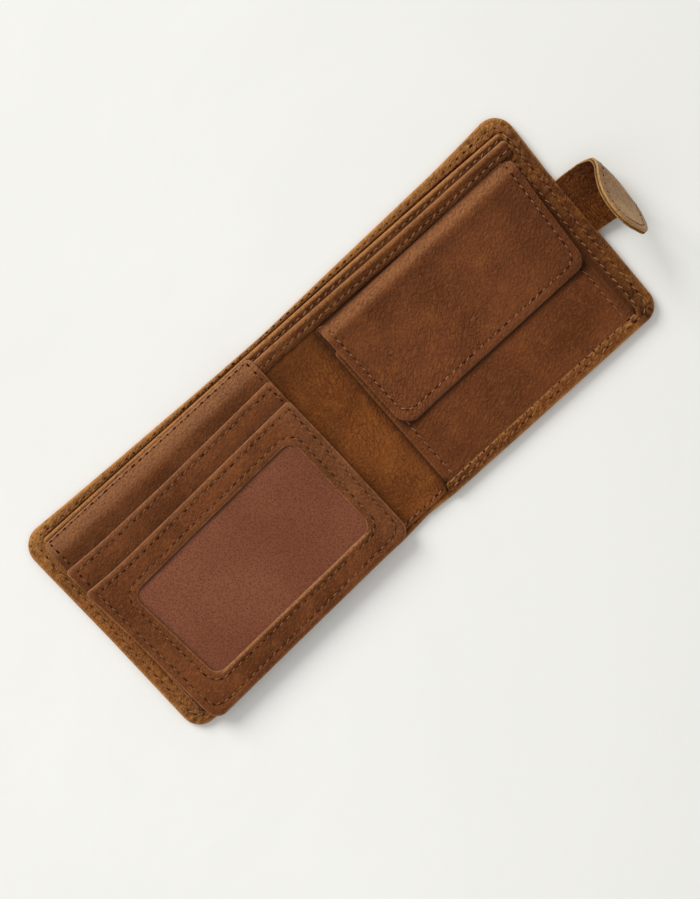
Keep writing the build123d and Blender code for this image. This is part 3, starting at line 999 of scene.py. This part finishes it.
panel_right = card_panel_half(
    rounded([(0, -46.3), (11.6, -46.2), (12.2, -44.4), (60, -44.6), (112.6, -45.0), (114.6, 29.5),
             (118.2, 31.0), (118.4, 37.6), (60, 38.0), (0, 39.4)],
            [0, 0.6, 0.4, 0, 2, 1, 1, 1, 90, 0]),
    path((1.0, -44.7), (10.6, -44.6)))
panel_left = card_panel_half(
    rounded([(0, -46.3), (0, 39.4), (-21, 39.4), (-21.6, -44.6), (-12.2, -44.4), (-11.6, -46.2)],
            [0, 0, 1, 1, 0.4, 0.6]),
    path((-1.0, -44.7), (-10.6, -44.6)))
bent(panel_right.build("card_panel_right", SPINE_LEATHER), "right_cover", "right_card_panel")
bent(panel_left.build("card_panel_left", SPINE_LEATHER), "left_cover", "spine_panel")


def strip_top(x):
    """The y of the bound edge's upper side."""
    return np.interp(x, [-16, 4, 60, 115], [40.5, 40.3, 39.1, 38.7])


def binding_swell(x, y, edge):
    """The strip is folded over the pocket's edge, so it stands fullest along its upper side."""
    down = strip_top(x) - y
    swell = 0.55 * smooth(-8.6, -3.5, x) * np.exp(-((down - 1.3) / 1.3) ** 2)
    return swell - 0.16 * smooth(2.4, 6.4, down) + fold_groove(x)


def binding_bottom(x, y):
    return PANEL_Z + fold_groove(x)


def binding_shade(x, y):
    """Painted shade in the hollow below the strip's stitching."""
    down = strip_top(x) - y
    return 0.75 * smooth(3.4, 5.6, down) + 0.30 * smooth(1.6, 2.6, down) * smooth(4.6, 3.4, down)


def binding_wear_and_highlight(x, y):
    """The strip's crest is scuffed paler, with a painted highlight along it."""
    return 0.45 * np.exp(-((strip_top(x) - y - 0.9) / 0.7) ** 2)


def binding_half(outline, seam):
    return Panel(outline, binding_bottom, BINDING_Z + 0.30, relief=binding_swell,
                 shade=binding_shade, wear_and_lighting=binding_wear_and_highlight, roll=0.55, spacing=1.7, lumps=0.06,
                 seed=15.0, cut=0.0, seams=[seam])


binding_right = binding_half(
    rounded([(0, 34.2), (60, 32.9), (118.2, 32.2), (118.6, 38.6), (60, 39.1), (4, 40.3), (0, 40.4)],
            [0, 90, 1.5, 2, 90, 60, 0]),
    path((1.0, 36.6), (60, 35.0), (117.0, 34.4)))
binding_left = binding_half(
    rounded([(0, 34.2), (0, 40.4), (-15.5, 40.5), (-16, 34.4)], [0, 0, 2, 1.5]),
    path((-1.0, 36.6), (-14.0, 36.8)))
bent(binding_right.build("binding_right", STRIP_LEATHER), "right_cover", "right_binding")
bent(binding_left.build("binding_left", STRIP_LEATHER), "left_cover", "spine_binding")


# ---------------------------------------------------------------- the coin pocket

COIN_BACK_OUTLINE = rounded(
    [(12.6, -43.8), (60, -43.9), (112.4, -44.4), (113.8, 31.2), (60, 31.4), (22, 31.6),
     (17.5, 33.4), (15.3, 33.6)],
    [0.4, 0, 1, 1, 90, 8, 2, 1.2])


def coin_back_shade(x, y):
    """Dark where the pocket's back shows beside its front."""
    return 0.75 * smooth(106.5, 110.5, x) + 0.85 * smooth(2.6, 1.6, x - pocket_side(y))


coin_back = Panel(COIN_BACK_OUTLINE, PANEL_Z + 0.05, COIN_BACK_Z + 0.25, lumps=0.05, seed=16.0,
                  spacing=3.0, shade=coin_back_shade)
piece(coin_back.build("coin_pocket_back_leather", COIN_LEATHER, FLESH), "right_cover",
      "coin_pocket_back")


def coin_front_top(x, y):
    """The pocket's front swells from its sewn sides to the middle and its mouth."""
    side = smooth(11.0, 30.0, x) * smooth(112.0, 96.0, x)
    rise = smooth(-44.0, -24.0, y)
    slack = 0.22 * lump(x, y, 24.0, 61.0) * side
    return 4.12 + (1.86 + slack) * side * rise


def coin_front_shade(x, y):
    """Dark under the flap's edge and towards the hem on the right."""
    lip = 0.85 * smooth(-20.6, -18.0, y) * smooth(13.0, 18.0, x) * smooth(111.0, 108.0, x)
    lip *= 1 - 0.7 * smooth(-17.0, -11.0, y)
    return lip + 0.45 * smooth(106.0, 109.0, x)


def coin_front_bottom(x, y):
    return coin_front_top(x, y) - 0.66


COIN_MOUTH_Y = high("coin_pocket_front")[1]
COIN_FRONT_OUTLINE = rounded(
    [(13.4, -43.9), (60, -44.0), (109.6, -44.4), (111.4, COIN_MOUTH_Y), (60, COIN_MOUTH_Y),
     (15.0, COIN_MOUTH_Y)],
    [0.4, 0, 0.6, 1.5, 0, 1.5])
COIN_FRONT_SEAMS = [path((17.4, -43.0), (18.9, COIN_MOUTH_Y - 1.5)),
                    path((106.0, -43.0), (107.6, COIN_MOUTH_Y - 1.5))]
coin_front = Panel(COIN_FRONT_OUTLINE, coin_front_bottom, coin_front_top, lumps=0.06, seed=17.0,
                   shade=coin_front_shade, seams=COIN_FRONT_SEAMS)
piece(coin_front.build("coin_pocket_front_leather", COIN_LEATHER, FLESH), "right_cover",
      "coin_pocket_front", "coin_pocket_gusset")


def flap_relief(x, y, edge):
    """The flap bows a little, and rises where it rolls over its hinge bead."""
    bow = 0.34 * lump(x, y, 34.0, 71.0) + 0.16 * smooth(8, 30, edge)
    over = 0.30 * smooth(20.0, 26.5, y) - 1.15 * smooth(26.0, 32.6, y)
    return bow + over


def flap_wear_and_highlight(x, y):
    """A painted highlight where the leather bends over the hinge, partly polish from use."""
    side = smooth(14.0, 24.0, x) * smooth(116.0, 106.0, x)
    return (0.30 + 0.35 * side) * smooth(25.6, 28.8, y) * (1 - 0.55 * smooth(30.2, 31.8, y))


def flap_shade(x, y):
    """Darker below the bend and towards the right."""
    below_bend = 0.30 * smooth(19.5, 24.0, y) * smooth(27.0, 25.0, y)
    return below_bend + 0.30 * smooth(70.0, 110.0, x) * smooth(26, 20, y)


FLAP_OUTLINE = rounded(
    [(16.0, -17.3), (60, -17.5), (109.8, -17.7), (112.3, 8), (114.8, 32.1), (60, 32.1), (16.4, 32.1)],
    [6.2, 200, 6.5, 200, 3.4, 200, 2.0])
FLAP_SEAM = path((19.5, 29.4), (19.3, -9.5), (20.2, -12.6), (23.4, -14.0), (60, -14.2), (103.0, -14.3),
                 (106.4, -13.0), (107.6, -9.6), (111.4, 29.4))
flap = Panel(FLAP_OUTLINE, FLAP_Z + 0.02, FLAP_TOP_Z - 0.12, seams=[FLAP_SEAM], relief=flap_relief, roll=0.7,
             lumps=0.07, seed=18.0, ridge=0.14, spacing=2.0, wear_and_lighting=flap_wear_and_highlight, shade=flap_shade)
piece(flap.build("coin_flap_cover", FLAP_LEATHER, FLESH), "coin_flap", "coin_flap_leather")


# ---------------------------------------------------------------- card slots under the leaf

def slot_layer(name, node, mouth_y, bottom, top):
    """One card slot's leather, from the hem up to its mouth."""
    outline = rounded([(-12.2, -44.6), (-12.6, mouth_y), (-60, mouth_y - 0.3), (-114.6, mouth_y),
                       (-115.0, -44.6)], [1.0, 1.2, 200, 1.2, 1.0])
    layer = Panel(outline, bottom, top, roll=0.35, lumps=0.03, ridge=0.08, seed=mouth_y, spacing=4.0,
                  seams=[path((-15.4, mouth_y - 2.6), (-112.0, mouth_y - 2.6))])
    piece(layer.build(name, LEAF_LEATHER, FLESH), "left_cover", node)
    return layer


card_layers = [slot_layer("left_card_back", "left_card_backing", 40.2, DIVIDER_Z + 0.2,
                          CARD_BACKING_Z + 0.2)]
for number, mouth in enumerate((30.0, 18.0, 6.0), 1):
    node = "left_card_slot_%d" % number
    layer_low, layer_high = low(node)[2] - 0.05, high(node)[2]
    card_layers.append(slot_layer("card_slot_%d" % number, node, mouth, layer_low, layer_high))


# ---------------------------------------------------------------- the flip-up leaf

def leaf_edge_top(x, y):
    """The leaf's back rises towards the rolled bead it is hinged by."""
    bead = 1.12 * smooth(32.5, 38.6, y) - 0.35 * smooth(39.4, 42.6, y)
    return LEAF_Z + 0.72 + bead


def leaf_bow(x, y, edge):
    """Every layer of the leaf bows alike, and lies flat at its edges."""
    return 0.16 * lump(x, y, 26.0, 81.0) * smooth(0, 6, edge)


def slot_relief(x, y, edge):
    return leaf_bow(x, y, edge) + 0.10 * smooth(26, 29, y)


LEAF_OUTLINE = rounded(
    [(-113.0, -51.5), (-60, -49.8), (-9.1, -48.3), (-9.4, 0), (-10.0, 42.9), (-60, 42.9),
     (-116.6, 42.9), (-116.6, 16), (-115.2, -8)],
    [5.5, 200, 5.2, 200, 2.4, 200, 2.6, 200, 200])


def leaf_wear_and_highlight(x, y):
    """A painted highlight where the leaf rolls over its hinge, partly polish from use."""
    return 0.66 * smooth(34.0, 38.6, y) * (1 - 0.35 * smooth(41.2, 42.4, y))


def leaf_shade(x, y):
    return 0.42 * smooth(35.5, 31.0, y)


def slot_edge(x):
    """The y of the slot panel's upper edge."""
    return np.interp(x, [-115, -100, -65, -40, -10], [29.4, 28.9, 29.3, 30.2, 31.2])


def slot_wear_and_highlight(x, y):
    # Painted highlight along the slot panel's upper edge, partly scuffing
    return 0.32 * smooth(2.8, 0.6, slot_edge(x) - y)


def slot_shade(x, y):
    return 0.42 * smooth(4.5, 10.0, slot_edge(x) - y)


def frame_wear_and_highlight(x, y):
    """Paler along the frame's upper edge and towards its right, partly scuffing and partly painted
    highlight; brightest, a painted highlight along the window's lower edge.
    """
    top = np.interp(x, [-115, -103, -65, -40, -10], [18.3, 17.7, 18.8, 19.7, 20.6]) - y
    hole_edge = -37.6 + 0.025 * (x + 60) - y
    bright = smooth(0.0, 0.3, hole_edge) * smooth(1.2, 0.6, hole_edge) * smooth(-101, -96, x)
    bright *= smooth(-19, -24, x)
    return bright + 0.25 * smooth(3.2, 0.6, top) + 0.15 * smooth(-22, -14, x)


leaf_back = Panel(LEAF_OUTLINE, LEAF_Z + 0.02, leaf_edge_top, roll=0.6, lumps=0.08, seed=21.0,
                  wear_and_lighting=leaf_wear_and_highlight, shade=leaf_shade, relief=leaf_bow)
LEAF_TOP_SEAM = path((-13.6, 42.1), (-60, 42.0), (-113.0, 42.1))
piece(leaf_back.build("leaf_back_leather", LEAF_LEATHER, FLESH), "window_leaf", "leaf_back")

SLOT_PANEL_OUTLINE = rounded(
    [(-112.6, -51.0), (-60, -49.3), (-9.2, -47.8), (-9.5, 0), (-10.1, 31.2), (-40, 30.2),
     (-65, 29.3), (-100, 28.9), (-117.1, 29.6), (-116.3, 14), (-114.8, -8)],
    [5.3, 200, 5.0, 200, 1.5, 200, 200, 200, 1.5, 200, 200])
slot_panel = Panel(
    SLOT_PANEL_OUTLINE, LEAF_Z + 0.66, LEAF_Z + 1.42, roll=0.42, lumps=0.05, seed=22.0,
    wear_and_lighting=slot_wear_and_highlight, shade=slot_shade, relief=slot_relief,
    seams=[path((-12.0, 28.2), (-40, 27.5), (-65, 26.7), (-100, 26.3), (-113.2, 26.7))])
piece(slot_panel.build("leaf_slot_leather", LEAF_LEATHER, FLESH), "window_leaf", "leaf_slot_panel")

FRAME_OUTLINE = rounded(
    [(-112.8, -51.3), (-60, -49.6), (-9.0, -48.1), (-9.3, 0), (-9.8, 20.6), (-40, 19.7),
     (-65, 18.8), (-103, 17.7), (-116.9, 18.6), (-116.4, 12), (-115.0, -8)],
    [5.4, 200, 5.1, 200, 1.5, 200, 200, 200, 1.5, 200, 200])
WINDOW_HOLE = rounded([(-100.7, -38.5), (-19.2, -36.5), (-19.6, 8.6), (-65, 7.3), (-103.7, 5.8)],
                      [4.5, 4.5, 4.5, 200, 4.5], 1.2)[::-1]
WINDOW_SEAM_LOOP = rounded(
    [(-103.6, -41.4), (-16.3, -39.3), (-16.7, 11.5), (-65, 10.2), (-106.6, 8.6)],
    [6.5, 6.5, 6.5, 200, 6.5], 1.2)
WINDOW_SEAM = closed(resample(closed(WINDOW_SEAM_LOOP), 1.4)[:-1])
LEAF_SEAM = path((-11.9, 17.9), (-11.9, 0), (-11.4, -40.5), (-12.3, -43.4), (-15.4, -44.9),
                 (-60, -46.6), (-105.0, -48.0), (-108.5, -46.9), (-110.0, -43.6), (-112.0, -8),
                 (-113.2, 15.6))
FRAME_TOP_SEAM = path((-13.6, 17.9), (-40, 17.0), (-65, 16.1), (-100, 15.0), (-110.8, 15.3))
frame_panel = Panel(
    FRAME_OUTLINE, LEAF_Z + 1.36, LEAF_Z + 2.16, holes=[WINDOW_HOLE], roll=0.42, lumps=0.06,
    seed=23.0, spacing=2.0, wear_and_lighting=frame_wear_and_highlight, ridge=0.22, relief=leaf_bow,
    seams=[WINDOW_SEAM, LEAF_SEAM, FRAME_TOP_SEAM])
piece(frame_panel.build("window_frame_leather", LEAF_LEATHER, FLESH), "window_leaf", "leaf_window_frame")

FILM_OUTLINE = rounded([(-103.2, -41.0), (-16.8, -39.0), (-17.2, 11.0), (-65, 9.8), (-106.2, 8.2)],
                       [3, 3, 3, 200, 3], 2.4)


def film_shade(x, y):
    """The window's upper and left edges shade the film beside them."""
    top = np.interp(x, [-103.7, -65, -19.6], [5.8, 7.3, 8.6]) - y
    left = x - np.interp(y, [-38.5, 5.8], [-100.7, -103.7])
    return 0.8 * smooth(1.5, 0.3, top) + 0.6 * smooth(1.1, 0.2, left)


film = Panel(FILM_OUTLINE, LEAF_Z + 1.30, LEAF_Z + 1.52, lumps=0.05, ridge=0.0, seed=24.0,
             shade=film_shade, spacing=1.2, relief=leaf_bow)
piece(film.build("window_film_sheet", FILM), "window_leaf", "leaf_window_film", slot="window_film")


# ---------------------------------------------------------------- the closing tab

# Stations along the tab: distance, place of its middle line and the way to its +Y side
TAB_STATIONS = [
    (-11.0, (111.5, 1.4, 2.05), (0.0, 12.5, 0.0)),
    (-4.0, (118.5, 1.1, 2.05), (0.2, 12.6, 0.0)),
    (1.5, (124.0, 0.7, 2.4), (0.5, 12.7, 0.1)),
    (6.5, (129.0, 0.1, 3.2), (0.6, 12.8, 0.5)),
    (11.0, (133.5, -0.8, 4.6), (0.6, 12.8, 1.3)),
    (15.0, (136.2, -2.0, 7.0), (0.5, 12.5, 2.4)),
    (19.5, (136.3, -4.0, 10.5), (-0.4, 11.8, 3.6)),
    (25.0, (134.6, -6.5, 14.2), (-1.8, 10.8, 5.0)),
    (31.0, (132.4, -10.3, 17.9), (-3.0, 9.5, 6.4)),
    (37.0, (130.5, -15.2, 21.3), (-3.3, 8.0, 6.7)),
    (43.0, (129.0, -20.5, 24.5), (-3.3, 6.8, 6.5)),
    (47.0, (128.2, -24.0, 26.5), (-3.3, 6.0, 6.3)),
]
TAB_HALF_WIDTH = 12.5
TAB_THICK = 1.0
# Places along the tab: its sewn-in start, where strap and tip meet, its magnet and its end
TAB_STARTS = -9.0
TAB_CUT = 9.0
MAGNET_AT = 31.0
TAB_END = 43.5
MAGNET_HALF_WIDTH = 6


def curve_through(at, knots, values):
    """A smooth curve through the values at the knots."""
    slopes = np.gradient(values, knots, axis=0)
    i = np.clip(np.searchsorted(knots, at) - 1, 0, len(knots) - 2)
    span = (knots[i + 1] - knots[i])[:, None]
    t = (at - knots[i])[:, None] / span
    leaving = (2 * t**3 - 3 * t**2 + 1) * values[i] + (t**3 - 2 * t**2 + t) * span * slopes[i]
    coming = (3 * t**2 - 2 * t**3) * values[i + 1] + (t**3 - t**2) * span * slopes[i + 1]
    return leaving + coming


def tab_place(p):
    """Takes points of the flat tab (along, across, height) to where the curled tab has them."""
    knots = np.array([s[0] for s in TAB_STATIONS])
    middles = np.array([s[1] for s in TAB_STATIONS])
    sides = np.array([s[2] for s in TAB_STATIONS])
    along, across = p[:, 0], p[:, 1]
    share = (across / TAB_HALF_WIDTH)[:, None]
    step = 0.05

    def at(along):
        return curve_through(along, knots, middles) + curve_through(along, knots, sides) * share

    here = at(along)
    ahead = at(along + step)
    normal = np.cross(ahead - here, curve_through(along, knots, sides))
    normal /= np.linalg.norm(normal, axis=1)[:, None]
    bulge = 1.5 * smooth(5.0, 14.0, along) * (1 - 0.8 * smooth(16.0, 27.0, along))
    return here + normal * (p[:, 2] - bulge * (1 - (across / TAB_HALF_WIDTH) ** 2))[:, None]


def tab_wrinkles(x, y, edge):
    """The inner leather is drawn into fine wrinkles across the strap where it bends."""
    fold = np.sin(x * 4.3 + 2.4 * lump(x, y, 6.0, 101.0) + 1.2 * lump(x, y, 2.2, 102.0))
    depth = 0.14 * smooth(-3, 3, x) * smooth(34, 18, x) * (0.6 + 0.4 * lump(x, y, 5.0, 103.0))
    return depth * fold + magnet_swell(x, y, edge)


def magnet_swell(x, y, edge):
    return 0.28 * smooth(9.5, 6.5, np.hypot(x - MAGNET_AT, y))


def tab_inner_shade(x, y):
    return 0.35 * smooth(1.5, -1.0, x) + 0.25 * smooth(4, 12, x) * smooth(-3, 9, y)


TAB_SEAM_Y = 9.9
TIP_SEAM = path((TAB_CUT + 0.6, -TAB_SEAM_Y), (TAB_END - 9.4, -TAB_SEAM_Y), (TAB_END - 5.0, -8.6),
                (TAB_END - 2.7, -4.6), (TAB_END - 2.4, 0), (TAB_END - 2.7, 4.6),
                (TAB_END - 5.0, 8.6), (TAB_END - 9.4, TAB_SEAM_Y), (TAB_CUT + 0.6, TAB_SEAM_Y))
STRAP_SEAMS = [path((1.5, y), (TAB_CUT - 0.6, y)) for y in (-TAB_SEAM_Y, TAB_SEAM_Y)]


def tab_outline(start, end, radii):
    """A stretch of the flat tab over its whole width."""
    half = TAB_HALF_WIDTH
    return rounded([(start, -half), (end, -half), (end, half), (start, half)], radii)


STRAP_OUTLINE = tab_outline(TAB_STARTS, TAB_CUT, [0.5, 0, 0, 0.5])
TIP_OUTLINE = tab_outline(TAB_CUT, TAB_END, [0, 9.5, 9.5, 0])


def bent_tab(obj, part, *nodes, slot="leather"):
    """A finished mesh of the tab has its placement baked into its points and stands for some CAD nodes."""
    if part == "tab_strap":
        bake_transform(obj)
    else:
        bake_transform(obj)
    stands_for(nodes, slot)


def tab_outer_face(p):
    return np.full(len(p), -TAB_THICK)


for part, outline, tab_seams, extra in (
        ("tab_strap", STRAP_OUTLINE, STRAP_SEAMS, ["tab_anchor"]),
        ("tab_tip", TIP_OUTLINE, [TIP_SEAM], [])):
    inner = Panel(outline, 0.04, TAB_THICK, seams=tab_seams, relief=tab_wrinkles, roll=0.3,
                  spacing=0.85, lumps=0.05, ridge=0.03, seed=26.0, cut=TAB_CUT, shade=tab_inner_shade)
    outer = Panel(outline, -TAB_THICK, -0.04, roll=0.3, spacing=1.6, lumps=0.0, ridge=0.0,
                  seed=27.0, cut=TAB_CUT)
    bent_tab(inner.build(part + "_inner_leather", TAB_INNER_LEATHER, FLESH, tab_place), part,
             part + "_inner", *extra)
    bent_tab(outer.build(part + "_outer_leather", TAB_OUTER_LEATHER, TAB_OUTER_LEATHER, tab_place),
             part, part + "_outer")
    inside_runs = [(seam, inner.surface) for seam in tab_seams]
    outside_runs = [(seam, tab_outer_face) for seam in tab_seams]
    bent_tab(stitches("thread_%s_inner" % part, inside_runs, DARK_THREAD, HOLE, 51, 0.12,
                      place=tab_place), part, slot="thread")
    bent_tab(stitches("thread_%s_outer" % part, outside_runs, THREAD, HOLE, 52, flip=True,
                      place=tab_place), part, slot="thread")

MAGNET_CORNERS = [(MAGNET_AT + MAGNET_HALF_WIDTH * i, MAGNET_HALF_WIDTH * j) for i, j in SQUARE]
magnet_outline = rounded(MAGNET_CORNERS, [5.9, 5.9, 5.9, 5.9], 1.2)
magnet = Panel(magnet_outline, -0.5, 0.5, roll=0.2, spacing=2.0, lumps=0.0, ridge=0.0)
piece(magnet.build("magnet_disc", NICKEL, place=tab_place), "tab_tip", "closure_magnet", slot="nickel")


# ---------------------------------------------------------------- thread

def seams_of(*panels):
    return [(seam, panel.surface) for panel in panels for seam in panel.seams]


def underside(p):
    """The shell's outer face along a seam."""
    return np.full(len(p), SEAM_PULL)


LEAF_SIDE_SEAMS = [(LEAF_TOP_SEAM, leaf_back.surface),
                   (path((-12.3, 40.6), (-12.1, 33.6)), leaf_back.surface),
                   (path((-113.9, 40.6), (-113.8, 31.4)), leaf_back.surface),
                   (path((-12.0, 25.6), (-11.9, 22.2)), slot_panel.surface),
                   (path((-113.6, 24.6), (-113.5, 20.4)), slot_panel.surface)]
bent(stitches("thread_right", seams_of(shell_right, divider_right, panel_right, binding_right),
              THREAD, HOLE, 41), "right_cover", slot="thread")
bent(stitches("thread_left", seams_of(shell_left, divider_left, panel_left, binding_left),
              THREAD, HOLE, 42), "left_cover", slot="thread")
for side, outer_seams in (("right", RIGHT_OUTER_SEAMS), ("left", LEFT_SEAMS)):
    runs = [(seam, underside) for seam in outer_seams]
    bent(stitches("thread_outside_" + side, runs, THREAD, HOLE, 47, 0.10, True), side + "_cover",
         slot="thread")
piece(stitches("thread_coin_front", seams_of(coin_front), LEAF_THREAD, HOLE, 43, hole_size=0.75),
      "right_cover", slot="thread")
piece(stitches("thread_flap", seams_of(flap), THREAD, HOLE, 44, hole_size=1.35), "coin_flap", slot="thread")
piece(stitches("thread_leaf", seams_of(slot_panel, frame_panel) + LEAF_SIDE_SEAMS, LEAF_THREAD, HOLE, 45,
               hole_size=1.3), "window_leaf", slot="thread")
piece(stitches("thread_card_slots", seams_of(*card_layers), THREAD, HOLE, 46), "left_cover", slot="thread")


# ---------------------------------------------------------------- CAD nodes that stay

for node, material in {
        "spine_lining": LINING, "left_cover_lining": LINING, "right_cover_lining": LINING,
        "coin_flap_lining": BLOCK_LEATHER, "leaf_fold_strip": BLOCK_LEATHER,
        "coin_flap_fold_strip": BLOCK_LEATHER, "closure_plate": STEEL,
        "coin_stud_post": NICKEL, "coin_stud_socket": NICKEL}.items():
    for slot in frame["nodes"][node].material_slots:
        slot.material = material


# ---------------------------------------------------------------- floor, light, camera

def plaster(name):
    """Pale plaster with a very faint trowelled relief."""
    s = Shader(name)
    at = cad_place(s)
    broad = s.noise(at, 6.0, 5.0, 0.6, 0.8)
    fine = s.noise(at, 45.0, 6.0, 0.65, 0.5)
    tone = s.mix(s.span(broad, 0.3, 0.7), rgb(0.875, 0.875, 0.845), rgb(0.905, 0.905, 0.878))
    # Painted shade: the plaster is a little darker towards one side, away from the light
    side = s.add("ShaderNodeSeparateXYZ", s.scaled(at, (1.0, 1.0, 1.0), -VIEW_TURN)).outputs[0]
    tone = s.mix(s.span(side, -0.10, 0.22), tone, rgb(0.805, 0.805, 0.775))
    relief = s.math("ADD", broad, s.math("MULTIPLY", fine, 0.25))
    s.set(Base_Color=tone, Roughness=0.85, Normal=s.bump(relief, 1.2, 0.35), Specular_IOR_Level=0.15)
    return s.material


FLOOR_HALF = 3.0
FLOOR_Z = -5e-5
FLOOR_CORNERS = [(FLOOR_HALF * i, FLOOR_HALF * j, FLOOR_Z) for i, j in SQUARE]
floor_mesh = bpy.data.meshes.new("floor")
floor_mesh.from_pydata(FLOOR_CORNERS, [], [(0, 1, 2, 3)])
floor = bpy.data.objects.new("floor", floor_mesh)
floor_mesh.materials.append(plaster("pale_plaster"))
bpy.context.scene.collection.objects.link(floor)

world = bpy.data.worlds.new("soft_room")
bpy.context.scene.world = world
world.use_nodes = True
background = world.node_tree.nodes["Background"].inputs
background["Color"].default_value = (1.0, 0.998, 0.985, 1)
background["Strength"].default_value = 0.60

lamp = bpy.data.lights.new("window_light", "SUN")
lamp.energy = 2.5
lamp.angle = math.radians(34)
lamp.color = (1.0, 0.99, 0.975)
lamp_object = bpy.data.objects.new("window_light", lamp)
lamp_object.rotation_euler = Vector((-0.12, 0.84, 0.54)).to_track_quat("Z", "Y").to_euler()
bpy.context.scene.collection.objects.link(lamp_object)

# Straight above the wallet, turned so that it lies across the frame
CAMERA_AT = (-5.2, -9.2)
CAMERA_DISTANCE = 870.0
VIEW_WIDTH = 267.2
camera_data = bpy.data.cameras.new("camera")
camera_data.sensor_fit = "HORIZONTAL"
camera_data.angle = 2 * math.atan(VIEW_WIDTH / 2 / (CAMERA_DISTANCE - 5))
camera_data.clip_end = 20
camera = bpy.data.objects.new("camera", camera_data)
camera.location = (CAMERA_AT[0] * MM, CAMERA_AT[1] * MM, CAMERA_DISTANCE * MM)
camera.rotation_euler = (0, 0, math.radians(-VIEW_TURN))
bpy.context.scene.collection.objects.link(camera)
bpy.context.scene.camera = camera
bpy.context.scene.view_settings.view_transform = "Standard"
